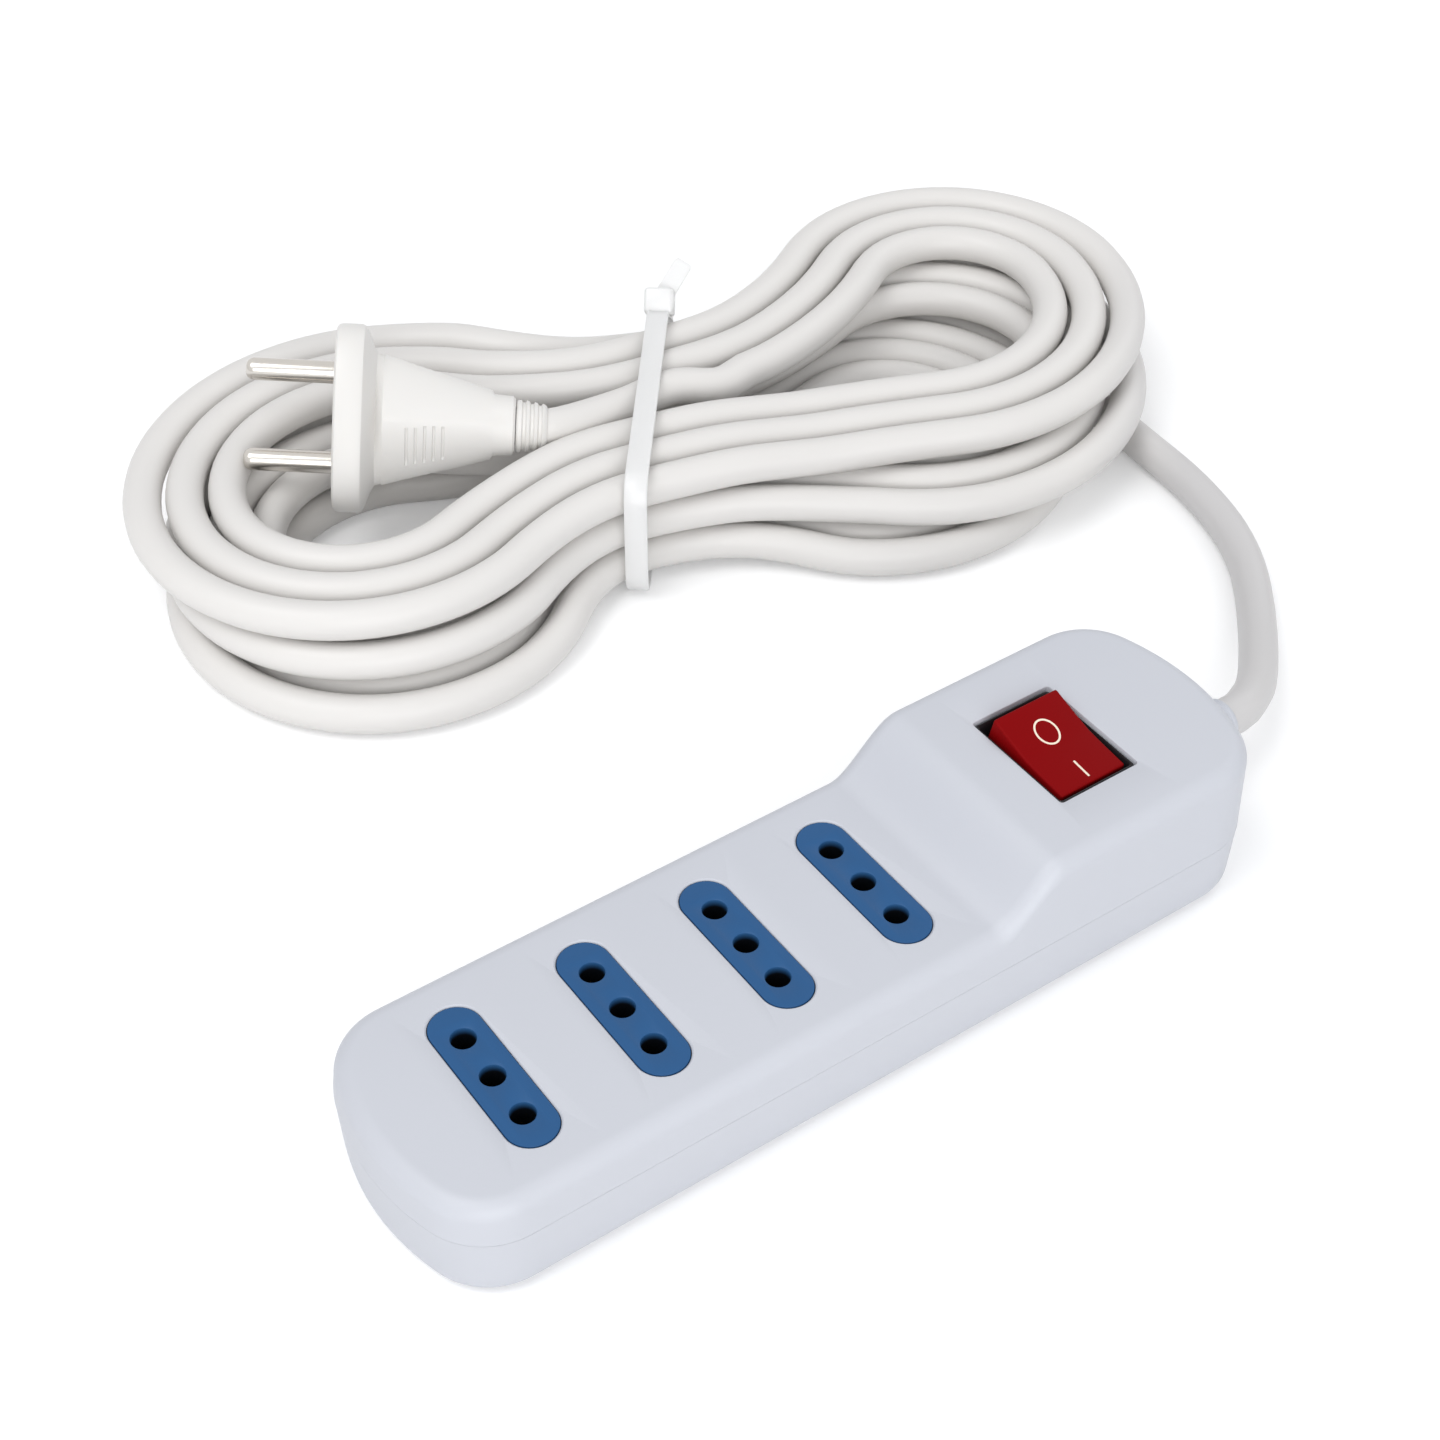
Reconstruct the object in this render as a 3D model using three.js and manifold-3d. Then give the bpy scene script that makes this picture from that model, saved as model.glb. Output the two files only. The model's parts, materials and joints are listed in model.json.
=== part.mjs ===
// Extension cord: a four-way socket strip with a rocker switch, its mains cord hanked and tied,
// and a two-pin plug. Millimetres, +Z up. Origin at the middle of the strip's base, the strip
// along X, the switch and the cord at +X.
import * as THREE from "three";
import { mergeVertices } from "three/addons/utils/BufferGeometryUtils.js";
import Module from "manifold-3d";

const wasm = await Module();
wasm.setup();

// ---------------------------------------------------------------- sizes
const GAP = 0.3; // clearance between neighbouring pieces
// strip housing
const LENGTH = 179;
const WIDTH = 51;
const CORNER = 14; // plan radius of the four corners
const END_TILT = 18; // degrees the bowed ends have turned where the corners take over
const LOW_TOP = 22; // height over the sockets
const HUMP_TOP = 32.3; // height over the switch
const RAMP_FROM = 22; // the ramp between the two heights, along X
const RAMP_TO = 37;
const PARTING = 14; // height of the joint between the two covers
const DRAFT = 0.5; // how much narrower each cover gets away from the joint
const TOP_ROUND = 3.5;
const BASE_ROUND = 3;
const WALL = 2.4;
// sockets
const SOCKETS = 4;
const FIRST_SOCKET = -65;
const SOCKET_PITCH = 25.5;
const INSERT_CAP = 4.8; // half width of the stadium
const INSERT_REACH = 12; // Y of the stadium's cap centres
const INSERT_PROUD = 0.2;
const INSERT_FLANGE = 1.6; // how far and how thick its hidden flange is
const INSERT_BASE = 13;
const PIN_PITCH = 9.5; // from the middle hole to each outer one
const PIN_RADIUS = 2.4;
const PIN_LENGTH = 19;
const HOLE_RADIUS = PIN_RADIUS + 0.15;
// contacts
const BAR_Z = 5;
const BAR_THICK = 1;
const BAR_WIDE = 7;
const BAR_START = -69;
const BAR_END = 20;
const SLEEVE_RADIUS = 3.2;
const SLEEVE_BORE = 2.3;
const SLEEVE_TOP = INSERT_BASE - GAP;
// switch
const SWITCH_X = LENGTH / 2 - 34.9;
const OPENING_X = 9; // half sizes of the opening in the top cover
const OPENING_Y = 12.5;
const FRAME_WALL_X = 0.5;
const FRAME_WALL_Y = 0.8;
const FRAME_BASE = 12;
const FRAME_FLOOR = 1.5;
const PIVOT_Z = 27.5;
const ROCKER_X = 7.9; // half sizes of the rocker
const ROCKER_Y = 10;
const ROCKER_HIGH = 6; // its ends above the pivot
const ROCKER_DIP = 5; // its middle above the pivot
const ROCKER_LOW = -3; // its underside below the pivot
const ROCKER_TILT = 11; // degrees each way from level
const PIVOT_RADIUS = 1;
const POST_RADIUS = 2.6; // post below the rocker, which guides the plunger
const POST_BORE = 1.9;
const POST_LOW = -7.2;
const PLUNGER_RADIUS = 1.6;
const PLUNGER_TIP = -10.6; // below the pivot
const BLADE_Z = 15.4; // fulcrum of the contact blade
const BLADE_HALF = 8;
const BLADE_TILT = 8; // degrees each way from level
const TAB_WIDE = 4.8;
const TAB_THICK = 0.8;
const TAB_LOW = 6.5;
const TAB_PITCH = 7.6; // from the middle tab to each outer one
// cord
const CORD = 8;
const CORD_Z = PARTING;
const CORD_INSIDE = LENGTH / 2 - 22; // where the sheath ends inside the strip
const BUSHING_START = LENGTH / 2 - 10.4;
const BUSHING_END = LENGTH / 2 + 10;
const BUSHING_NECK = 6;
const BUSHING_FLANGE = 7.5;
const WIRE = 2.4;
// clamp that holds the cord inside the strip
const CLAMP_X = LENGTH / 2 - 14;
const CLAMP_HALF = 3; // half its length along the cord
const CLAMP_SCREW_Y = WIDTH / 2 - 16.5;
const CLAMP_SHANK = 1.3;
const CLAMP_BASE = CORD_Z + CORD / 2 + 0.2;
const CLAMP_THICK = 3;
// screws up through the bottom cover
const HOUSING_SCREWS = [
  [FIRST_SOCKET - 12, -13],
  [FIRST_SOCKET - 12, 13],
  [LENGTH / 2 - 11, 9 - WIDTH / 2],
  [LENGTH / 2 - 11, WIDTH / 2 - 9],
];
const SCREW_BOSS = 3.2;
const SCREW_SHANK = 1.3;
const SCREW_HEAD = 2.6;
const SCREW_HEAD_LOW = 0.6;
const SCREW_HEAD_TOP = 2.4;
const SCREW_TIP = PARTING + 5;
// hank
const PITCH = 8.85; // from strand to strand within a layer
const LAYER = 8.7; // from layer to layer
const LAYERS = 3;
const LAYER_TURNS = 3; // turns in each layer
const CLIMB = 0.06; // turns before and after a layer's end over which the cord climbs to the next one
// the drawn-in middle: its place, half its width, its turn in plan, how far the near crossing is moved
// along it from the far one, and how far its strands are raised
const WAIST = { x: 52, y: 139, half: 30, turn: -13, skew: 4, lift: 2 };
const START_TURN = 0.24; // how far before the far waist crossing the hank begins
const END_TURN = 8.97;
// each layer's lobes: distance of the end circle from the waist, shift across it, its radius and
// the side circle's
const LEFT_LOBES = [[58, 12, 45, 50], [60, 6, 46, 52], [60, 0, 47, 52]];
const RIGHT_LOBES = [[62, -2, 46, 50], [78, 6, 46, 54], [88, 20, 46, 58]];
const HANK_SIDES = 6;
const HANK_STEPS = 50; // per loop
// the cord's free runs: from the bushing to the hank, and from the hank through its waist to the plug
const LEAD_ROUTE = [
  [109, 2.4, 12.8], [114.5, 5.8, 11.2], [122, 12.5, 9], [129.5, 20, 6.8], [138, 29.5, 5], [145.5, 39.5, 4.2],
  [151.5, 52, 4], [155.3, 68, 4], [156.5, 84, 4],
];
const TAIL_ROUTE = [[66, 141, 24.1], [52.5, 140.9, 24.3]];
// plug: the middle of its front face, the way it points and the way from one pin to the other
const FLANGE = { at: [-4, 165, 30.5], axis: [-0.838, 0.53, 0.09], pins: [0.4, 0.485, 0.78] };
const FLANGE_LONG = 40;
const FLANGE_HIGH = 23;
const FLANGE_THICK = 9;
const BODY_LENGTH = 29;
const RELIEF_LENGTH = 6.5;
// cable tie
const TIE = { x: 57.5, y: 137.7, turn: -38 }; // its middle, and its plane's normal in plan
const TIE_WIDE = 4.8;
const TIE_THICK = 1.2;
const TIE_SLACK = 1.5;
// strands the tie bears on: across the bundle and up
const TIE_CENTRES = [[-30.9, 6.75], [37.8, 6.75], [36.4, 15.8], [26.4, 23.3], [-30, 23.4]];
const TIE_HEAD = { at: [34.2, 28.5], half: [4.4, 3], turn: -37.7, wide: 6.6 };
const TIE_TAIL = { length: 8, lean: 30 };

// ---------------------------------------------------------------- materials
function material(color, roughness, metalness = 0) {
  return new THREE.MeshStandardMaterial({ color, roughness, metalness });
}
const housingWhite = material(0xd4d7e2, 0.45);
const socketBlue = material(0x2f5c8a, 0.4);
const rockerRed = material(0x8c0c0c, 0.3);
const switchBlack = material(0x17181b, 0.5);
const cordWhite = material(0xe9e6e1, 0.5);
const plugWhite = material(0xe8e5e0, 0.5);
const tieClear = material(0xeceae8, 0.35);
const steel = material(0xb9b6b0, 0.25, 1);
const brass = material(0xc9a24a, 0.35, 1);
const springSteel = material(0x9a9a9c, 0.35, 1);
const lampGlass = material(0xe8b48c, 0.1);
const wireBrown = material(0x5a3420, 0.5);
const wireBlue = material(0x2a5fae, 0.5);

// ---------------------------------------------------------------- helpers
const root = new THREE.Group();

function add(name, geometry, mat) {
  const mesh = new THREE.Mesh(geometry, mat);
  mesh.name = name;
  root.add(mesh);
  return mesh;
}

function toSolid(geometry) {
  const g = geometry.clone();
  g.deleteAttribute("normal");
  g.deleteAttribute("uv");
  const merged = mergeVertices(g, 1e-4);
  return new wasm.Manifold(new wasm.Mesh({
    numProp: 3,
    vertProperties: new Float32Array(merged.attributes.position.array),
    triVerts: new Uint32Array(merged.index.array),
  }));
}

function toGeometry(solid) {
  const m = solid.getMesh();
  const g = new THREE.BufferGeometry();
  g.setAttribute("position", new THREE.BufferAttribute(new Float32Array(m.vertProperties), 3));
  g.setIndex(new THREE.BufferAttribute(new Uint32Array(m.triVerts), 1));
  g.computeVertexNormals();
  return g;
}

// The first geometry with the others joined to it or cut from it.
function join(first, ...others) {
  return toGeometry(others.reduce((s, g) => s.add(toSolid(g)), toSolid(first)));
}

function cut(first, ...others) {
  return toGeometry(others.reduce((s, g) => s.subtract(toSolid(g)), toSolid(first)));
}

function box(x0, x1, y0, y1, z0, z1) {
  const g = new THREE.BoxGeometry(x1 - x0, y1 - y0, z1 - z0);
  return g.translate((x0 + x1) / 2, (y0 + y1) / 2, (z0 + z1) / 2);
}

// Upright cylinder, or one along X.
function upright(x, y, z0, z1, radius, sides = 12) {
  const g = new THREE.CylinderGeometry(radius, radius, z1 - z0, sides);
  return g.rotateX(Math.PI / 2).translate(x, y, (z0 + z1) / 2);
}

function alongX(x0, x1, y, z, radius, sides = 20) {
  const g = new THREE.CylinderGeometry(radius, radius, x1 - x0, sides);
  return g.rotateZ(-Math.PI / 2).translate((x0 + x1) / 2, y, z);
}

// Solid turned about the Z axis; the profile's ends lie on the axis, or it closes on itself.
function turned(profile, sides) {
  const points = profile.map(([r, z]) => new THREE.Vector2(r, z));
  return new THREE.LatheGeometry(points, sides).rotateX(Math.PI / 2);
}

// Stadium prism, long way along Y.
function stadium(x, half, reach, z0, z1, segments = 7) {
  const s = new THREE.Shape();
  s.absarc(0, reach, half, 0, Math.PI);
  s.absarc(0, -reach, half, Math.PI, 2 * Math.PI);
  s.closePath();
  const g = new THREE.ExtrudeGeometry(s, { depth: z1 - z0, bevelEnabled: false, curveSegments: segments });
  return g.translate(x, 0, z0);
}

// Round tube through the points, with flat ends square to its ends.
function tube(points, radius, sides, startWay, endWay) {
  const n = points.length;
  const tangents = points.map((p, i) => {
    const a = points[Math.max(i - 1, 0)];
    const b = points[Math.min(i + 1, n - 1)];
    return b.clone().sub(a).normalize();
  });
  if (startWay) tangents[0] = startWay;
  if (endWay) tangents[n - 1] = endWay;
  const up = new THREE.Vector3(0, 0, 1);
  let side = new THREE.Vector3().crossVectors(tangents[0], up).normalize();
  const position = [];
  for (let i = 0; i < n; i++) {
    side = side.clone().addScaledVector(tangents[i], -side.dot(tangents[i])).normalize();
    const other = new THREE.Vector3().crossVectors(tangents[i], side);
    for (let k = 0; k < sides; k++) {
      const a = (2 * Math.PI * (k + 0.5)) / sides;
      const p = points[i].clone();
      p.addScaledVector(side, radius * Math.cos(a)).addScaledVector(other, radius * Math.sin(a));
      position.push(p.x, p.y, p.z);
    }
  }
  const index = [];
  for (let i = 0; i + 1 < n; i++) {
    for (let k = 0; k < sides; k++) {
      const a = i * sides + k;
      const b = i * sides + ((k + 1) % sides);
      index.push(a, b, b + sides, a, b + sides, a + sides);
    }
  }
  const last = (n - 1) * sides;
  for (let k = 1; k + 1 < sides; k++) {
    index.push(0, k + 1, k);
    index.push(last, last + k, last + k + 1);
  }
  const g = new THREE.BufferGeometry();
  g.setAttribute("position", new THREE.Float32BufferAttribute(position, 3));
  g.setIndex(index);
  g.computeVertexNormals();
  return g;
}

function through(list, steps) {
  const curve = new THREE.CatmullRomCurve3(list.map((p) => new THREE.Vector3(...p)), false, "centripetal");
  return curve.getSpacedPoints(steps);
}

function smooth(from, to, x) {
  const t = Math.min(Math.max((x - from) / (to - from), 0), 1);
  return t * t * (3 - 2 * t);
}

// ---------------------------------------------------------------- housing covers
function topHeight(x) {
  return LOW_TOP + (HUMP_TOP - LOW_TOP) * smooth(RAMP_FROM, RAMP_TO, x);
}

// Half of the plan outline (Y >= 0), from the middle of the -X end to the middle of the +X end.
// Each end bows out as a parabola, which the round of the corner carries on.
function halfOutline(inset) {
  const half = LENGTH / 2;
  const tilt = THREE.MathUtils.degToRad(END_TILT);
  const endReach = WIDTH / 2 - CORNER * (1 - Math.sin(tilt));
  const bow = (endReach * Math.tan(tilt)) / 2;
  const centreX = half - bow - CORNER * Math.cos(tilt);
  const centreY = WIDTH / 2 - CORNER;
  const radius = CORNER - inset;
  const cornerSteps = 5;
  const corner = Array.from({ length: cornerSteps + 1 }, (_, i) => {
    const a = tilt + (Math.PI / 2 - tilt) * (i / cornerSteps);
    return [centreX + radius * Math.cos(a), centreY + radius * Math.sin(a)];
  });
  const end = [[half - inset, 0], [half - inset - bow / 4, endReach / 2], ...corner];
  const rampSteps = 5;
  const side = Array.from({ length: rampSteps + 1 }, (_, i) =>
    [RAMP_FROM + ((RAMP_TO - RAMP_FROM) * i) / rampSteps, WIDTH / 2 - inset]);
  return [...end.map(([x, y]) => [-x, y]), ...side, ...end.reverse()];
}

// Closed body from rings of [inset, height function], lowest first.
function shell(rings) {
  const halves = rings.map(([inset]) => halfOutline(inset));
  const n = halves[0].length;
  const count = 2 * n - 2;
  const position = [];
  rings.forEach(([, height], r) => {
    const half = halves[r];
    for (let i = 0; i < count; i++) {
      const [x, y] = i < n ? half[i] : half[count - i];
      position.push(x, i < n ? y : -y, height(x));
    }
  });
  const index = [];
  for (let r = 0; r + 1 < rings.length; r++) {
    for (let i = 0; i < count; i++) {
      const a = r * count + i;
      const b = r * count + ((i + 1) % count);
      index.push(a, a + count, b + count, a, b + count, b);
    }
  }
  const top = (rings.length - 1) * count;
  for (let i = 0; i < n - 1; i++) {
    const m0 = (count - i) % count;
    const m1 = count - i - 1;
    const quad = [i, i + 1, m1, m0].filter((v, k, all) => all.indexOf(v) === k);
    for (let k = 1; k + 1 < quad.length; k++) {
      index.push(quad[0], quad[k], quad[k + 1]);
      index.push(top + quad[0], top + quad[k + 1], top + quad[k]);
    }
  }
  const g = new THREE.BufferGeometry();
  g.setAttribute("position", new THREE.Float32BufferAttribute(position, 3));
  g.setIndex(index);
  return g;
}

const level = (z) => () => z;
const belowTop = (drop) => (x) => topHeight(x) - drop;

function socketXs() {
  return Array.from({ length: SOCKETS }, (_, i) => FIRST_SOCKET + i * SOCKET_PITCH);
}

function topCover() {
  const rounding = [0, 30, 60, 90].map((deg) => {
    const a = THREE.MathUtils.degToRad(deg);
    return [DRAFT + TOP_ROUND * (1 - Math.cos(a)), belowTop(TOP_ROUND * (1 - Math.sin(a)))];
  });
  const outer = shell([[0, level(PARTING)], ...rounding]);
  const inner = shell([
    [WALL, level(PARTING - 1)],
    [WALL + DRAFT, belowTop(TOP_ROUND + WALL / 2)],
    [WALL + TOP_ROUND / 2, belowTop(WALL)],
  ]);
  let solid = toSolid(outer).subtract(toSolid(inner));
  for (const [x, y] of HOUSING_SCREWS) {
    solid = solid.add(toSolid(upright(x, y, PARTING + GAP, topHeight(x) - WALL / 2, SCREW_BOSS)));
    solid = solid.subtract(toSolid(upright(x, y, PARTING - 1, SCREW_TIP + 1, SCREW_SHANK + 0.1, 12)));
  }
  for (const x of socketXs()) {
    const hole = stadium(x, INSERT_CAP + GAP, INSERT_REACH, LOW_TOP - WALL - 1, LOW_TOP + 1);
    solid = solid.subtract(toSolid(hole));
  }
  const hole = box(SWITCH_X - OPENING_X, SWITCH_X + OPENING_X, -OPENING_Y, OPENING_Y, PARTING, HUMP_TOP + 1);
  solid = solid.subtract(toSolid(hole));
  solid = solid.subtract(toSolid(alongX(LENGTH / 2 - 8, LENGTH / 2 + 1, 0, CORD_Z, BUSHING_NECK + GAP, 24)));
  return toGeometry(solid);
}

function bottomCover() {
  const seam = PARTING - GAP;
  const rounding = [90, 45, 0].map((deg) => {
    const a = THREE.MathUtils.degToRad(deg);
    return [DRAFT + BASE_ROUND * (1 - Math.cos(a)), level(BASE_ROUND * (1 - Math.sin(a)))];
  });
  const outer = shell([...rounding, [0, level(seam)]]);
  const inner = shell([[WALL + DRAFT, level(WALL)], [WALL, level(seam + 1)]]);
  let solid = toSolid(outer).subtract(toSolid(inner));
  for (const [x, y] of HOUSING_SCREWS) {
    solid = solid.add(toSolid(upright(x, y, WALL / 2, seam, SCREW_BOSS)));
    solid = solid.subtract(toSolid(upright(x, y, WALL, seam + 1, SCREW_SHANK + GAP, 12)));
    solid = solid.subtract(toSolid(upright(x, y, -1, SCREW_HEAD_TOP + GAP / 2, SCREW_HEAD + GAP)));
  }
  // ribs under the busbars
  const floor = WALL - 0.5;
  const ribReach = PIN_PITCH + BAR_WIDE / 2 + 2;
  for (let i = 0; i + 1 < SOCKETS; i++) {
    const x = FIRST_SOCKET + SOCKET_PITCH * (i + 0.5);
    solid = solid.add(toSolid(box(x - 1, x + 1, -ribReach, ribReach, floor, BAR_Z)));
  }
  // saddle and posts of the cord clamp
  const saddle = box(CLAMP_X - CLAMP_HALF, CLAMP_X + CLAMP_HALF, -5, 5, floor, CORD_Z - CORD / 2);
  solid = solid.add(toSolid(saddle));
  for (const y of [-CLAMP_SCREW_Y, CLAMP_SCREW_Y]) {
    solid = solid.add(toSolid(upright(CLAMP_X, y, floor, CLAMP_BASE, CLAMP_HALF)));
    const bore = upright(CLAMP_X, y, CLAMP_BASE - 9, CLAMP_BASE + 1, CLAMP_SHANK + 0.1, 12);
    solid = solid.subtract(toSolid(bore));
  }
  // posts under the four corners of the switch frame
  const postHalf = 0.8;
  const postY = OPENING_Y - 0.5 - postHalf;
  for (const x of [SWITCH_X - OPENING_X + 2.5, SWITCH_X + OPENING_X - 2.5]) {
    for (const y of [-postY, postY]) {
      const post = box(x - postHalf, x + postHalf, y - postHalf, y + postHalf, floor, FRAME_BASE);
      solid = solid.add(toSolid(post));
    }
  }
  solid = solid.subtract(toSolid(alongX(LENGTH / 2 - 8, LENGTH / 2 + 1, 0, CORD_Z, BUSHING_NECK + GAP, 24)));
  return toGeometry(solid);
}

// Screw with its axis upright: head at one end, pointed shank.
function screw(x, y, headFrom, headTo, tip, shank, head) {
  const sign = Math.sign(tip - headTo);
  const profile = [
    [0, headFrom], [head, headFrom], [head, headTo], [shank, headTo], [shank, tip - sign], [0, tip],
  ];
  if (sign < 0) profile.reverse();
  const g = turned(profile, 12);
  const slot = box(-head - 1, head + 1, -0.4, 0.4, Math.min(headFrom, headFrom + 0.7 * sign) - 0.01,
    Math.max(headFrom, headFrom + 0.7 * sign) + 0.01);
  return cut(g, slot).translate(x, y, 0);
}

// ---------------------------------------------------------------- sockets and contacts
function socketInsert(x) {
  const body = stadium(x, INSERT_CAP, INSERT_REACH, INSERT_BASE, LOW_TOP + INSERT_PROUD);
  const under = LOW_TOP - WALL;
  const flange = stadium(x, INSERT_CAP + INSERT_FLANGE, INSERT_REACH, under - INSERT_FLANGE, under);
  const holes = [-PIN_PITCH, 0, PIN_PITCH].map((y) =>
    upright(x, y, INSERT_BASE - 1, LOW_TOP + 1, HOLE_RADIUS, 14));
  return cut(join(body, flange), ...holes);
}

function busbar(y, end) {
  return box(BAR_START, end, y - BAR_WIDE / 2, y + BAR_WIDE / 2, BAR_Z, BAR_Z + BAR_THICK);
}

// Split spring sleeve standing on a busbar.
function sleeve(x, y) {
  const low = BAR_Z + BAR_THICK;
  const outside = upright(x, y, low, SLEEVE_TOP, SLEEVE_RADIUS, 14);
  const bore = upright(x, y, low + 1.2, SLEEVE_TOP + 1, SLEEVE_BORE, 14);
  const slot = box(x - 0.4, x + 0.4, y, y + 5, low + 2.2, SLEEVE_TOP + 1);
  return cut(outside, bore, slot);
}

// ---------------------------------------------------------------- switch
function switchFrame() {
  const halfX = OPENING_X - GAP;
  const halfY = OPENING_Y - GAP;
  const roof = HUMP_TOP - WALL;
  const body = box(-halfX, halfX, -halfY, halfY, FRAME_BASE, HUMP_TOP - 0.6);
  const flange = box(-halfX - 1.8, halfX + 1.8, -halfY - 1.8, halfY + 1.8, roof - GAP - 1.6, roof - GAP);
  const inX = halfX - FRAME_WALL_X;
  const inY = halfY - FRAME_WALL_Y;
  const well = box(-inX, inX, -inY, inY, FRAME_BASE + FRAME_FLOOR, HUMP_TOP + 1);
  const pivot = alongX(-halfX - 3, halfX + 3, 0, PIVOT_Z, PIVOT_RADIUS + 0.22, 12);
  const slots = [-TAB_PITCH, 0, TAB_PITCH].map((y) =>
    box(-TAB_WIDE / 2 - GAP, TAB_WIDE / 2 + GAP, y - TAB_THICK / 2 - GAP, y + TAB_THICK / 2 + GAP, 10, 15));
  return cut(join(body, flange), well, pivot, ...slots).translate(SWITCH_X, 0, 0);
}

// Everything that tilts with the rocker is drawn level about its pivot, then tilted to its place at rest.
function tilted(geometry) {
  return geometry.rotateX(THREE.MathUtils.degToRad(ROCKER_TILT)).translate(SWITCH_X, 0, PIVOT_Z);
}

function rocker() {
  const s = new THREE.Shape();
  const side = ROCKER_Y;
  s.moveTo(-side, 0);
  s.lineTo(-side + 3, ROCKER_LOW);
  s.lineTo(side - 3, ROCKER_LOW);
  s.lineTo(side, 0);
  s.lineTo(side, ROCKER_HIGH - 0.6);
  s.lineTo(side - 0.6, ROCKER_HIGH);
  s.lineTo(side / 2, ROCKER_DIP + (ROCKER_HIGH - ROCKER_DIP) * 0.4);
  s.lineTo(0, ROCKER_DIP);
  s.lineTo(-side / 2, ROCKER_DIP + (ROCKER_HIGH - ROCKER_DIP) * 0.4);
  s.lineTo(-side + 0.6, ROCKER_HIGH);
  s.lineTo(-side, ROCKER_HIGH - 0.6);
  s.closePath();
  const bevel = 0.5;
  const g = new THREE.ExtrudeGeometry(s, {
    depth: 2 * (ROCKER_X - bevel), bevelEnabled: true, bevelThickness: bevel, bevelSize: bevel,
    bevelOffset: -bevel, bevelSegments: 1,
  });
  // the shape's X becomes Y, its Y becomes Z, the extrusion runs along X
  g.translate(0, 0, -(ROCKER_X - bevel));
  g.applyMatrix4(new THREE.Matrix4().makeBasis(
    new THREE.Vector3(0, 1, 0), new THREE.Vector3(0, 0, 1), new THREE.Vector3(1, 0, 0)));
  const pins = alongX(-(OPENING_X - GAP), OPENING_X - GAP, 0, 0, PIVOT_RADIUS, 12);
  const post = upright(0, 0, POST_LOW, ROCKER_LOW + 1, POST_RADIUS, 14);
  const bore = upright(0, 0, POST_LOW - 1, 0.5, POST_BORE, 14);
  return tilted(cut(join(g, pins, post), bore));
}

function plunger() {
  const shoulder = -4.6;
  return tilted(turned([
    [0, PLUNGER_TIP], [0.9, PLUNGER_TIP + 0.35], [PLUNGER_RADIUS, PLUNGER_TIP + 1.4],
    [PLUNGER_RADIUS, shoulder - 1], [0.7, shoulder - 1], [0.7, shoulder + 1], [0, shoulder + 1],
  ], 14));
}

function spring() {
  const turns = 4;
  const low = -5.2;
  const high = 0.1;
  const points = [];
  const steps = turns * 12;
  for (let i = 0; i <= steps; i++) {
    const a = (2 * Math.PI * turns * i) / steps;
    points.push(new THREE.Vector3(1.3 * Math.cos(a), 1.3 * Math.sin(a), low + ((high - low) * i) / steps));
  }
  return tilted(tube(points, 0.25, 5));
}

// See-saw blade on the middle terminal, drawn level about its fulcrum.
function contactBlade() {
  const s = new THREE.Shape();
  s.moveTo(-BLADE_HALF, 0.5);
  s.lineTo(-1.2, 0.5);
  s.lineTo(0, 0.1);
  s.lineTo(1.2, 0.5);
  s.lineTo(BLADE_HALF, 0.5);
  s.lineTo(BLADE_HALF, 1.1);
  s.lineTo(1.6, 1.1);
  s.lineTo(0, 0.8);
  s.lineTo(-1.6, 1.1);
  s.lineTo(-BLADE_HALF, 1.1);
  s.closePath();
  const half = 1.9;
  const g = new THREE.ExtrudeGeometry(s, { depth: 2 * half, bevelEnabled: false });
  g.translate(0, 0, -half);
  g.applyMatrix4(new THREE.Matrix4().makeBasis(
    new THREE.Vector3(0, 1, 0), new THREE.Vector3(0, 0, 1), new THREE.Vector3(1, 0, 0)));
  g.rotateX(-THREE.MathUtils.degToRad(BLADE_TILT));
  return g.translate(SWITCH_X, 0, BLADE_Z);
}

function terminal(y, top) {
  const tab = box(-TAB_WIDE / 2, TAB_WIDE / 2, y - TAB_THICK / 2, y + TAB_THICK / 2, TAB_LOW, top);
  return tab.translate(SWITCH_X, 0, 0);
}

// The lamp lies along Y against the inside of the switch frame's wall.
function neonLamp() {
  const radius = 1.7;
  const g = turned([[0, -4.5], [1, -4.2], [radius, -3.2], [radius, 3.4], [1.2, 4], [0, 4.3]], 12);
  const wallX = OPENING_X - GAP - FRAME_WALL_X;
  return g.rotateX(Math.PI / 2).translate(SWITCH_X + wallX - GAP - radius, 0, 17.5);
}

// ---------------------------------------------------------------- cord inside the housing
function cordClamp() {
  const reach = CLAMP_SCREW_Y + 3;
  const top = CLAMP_BASE + CLAMP_THICK;
  const bar = box(CLAMP_X - CLAMP_HALF, CLAMP_X + CLAMP_HALF, -reach, reach, CLAMP_BASE, top);
  const holes = [-CLAMP_SCREW_Y, CLAMP_SCREW_Y].map((y) =>
    upright(CLAMP_X, y, CLAMP_BASE - 1, CLAMP_BASE + CLAMP_THICK + 1, CLAMP_SHANK + GAP, 12));
  return cut(bar, ...holes);
}

function bushing() {
  const wallIn = LENGTH / 2 - WALL - DRAFT;
  const bore = CORD / 2 + GAP;
  const profile = [
    [bore, BUSHING_START], [bore + 1, BUSHING_START],
    [bore + 1, wallIn - 3.4], [BUSHING_FLANGE, wallIn - 3.4],
    [BUSHING_FLANGE, wallIn - 0.4], [BUSHING_NECK, wallIn - 0.4], [BUSHING_NECK, LENGTH / 2 + 0.6],
    [bore + 0.4, BUSHING_END], [bore, BUSHING_END], [bore, BUSHING_START],
  ];
  return turned(profile, 20).rotateY(Math.PI / 2).translate(0, 0, CORD_Z);
}

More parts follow.
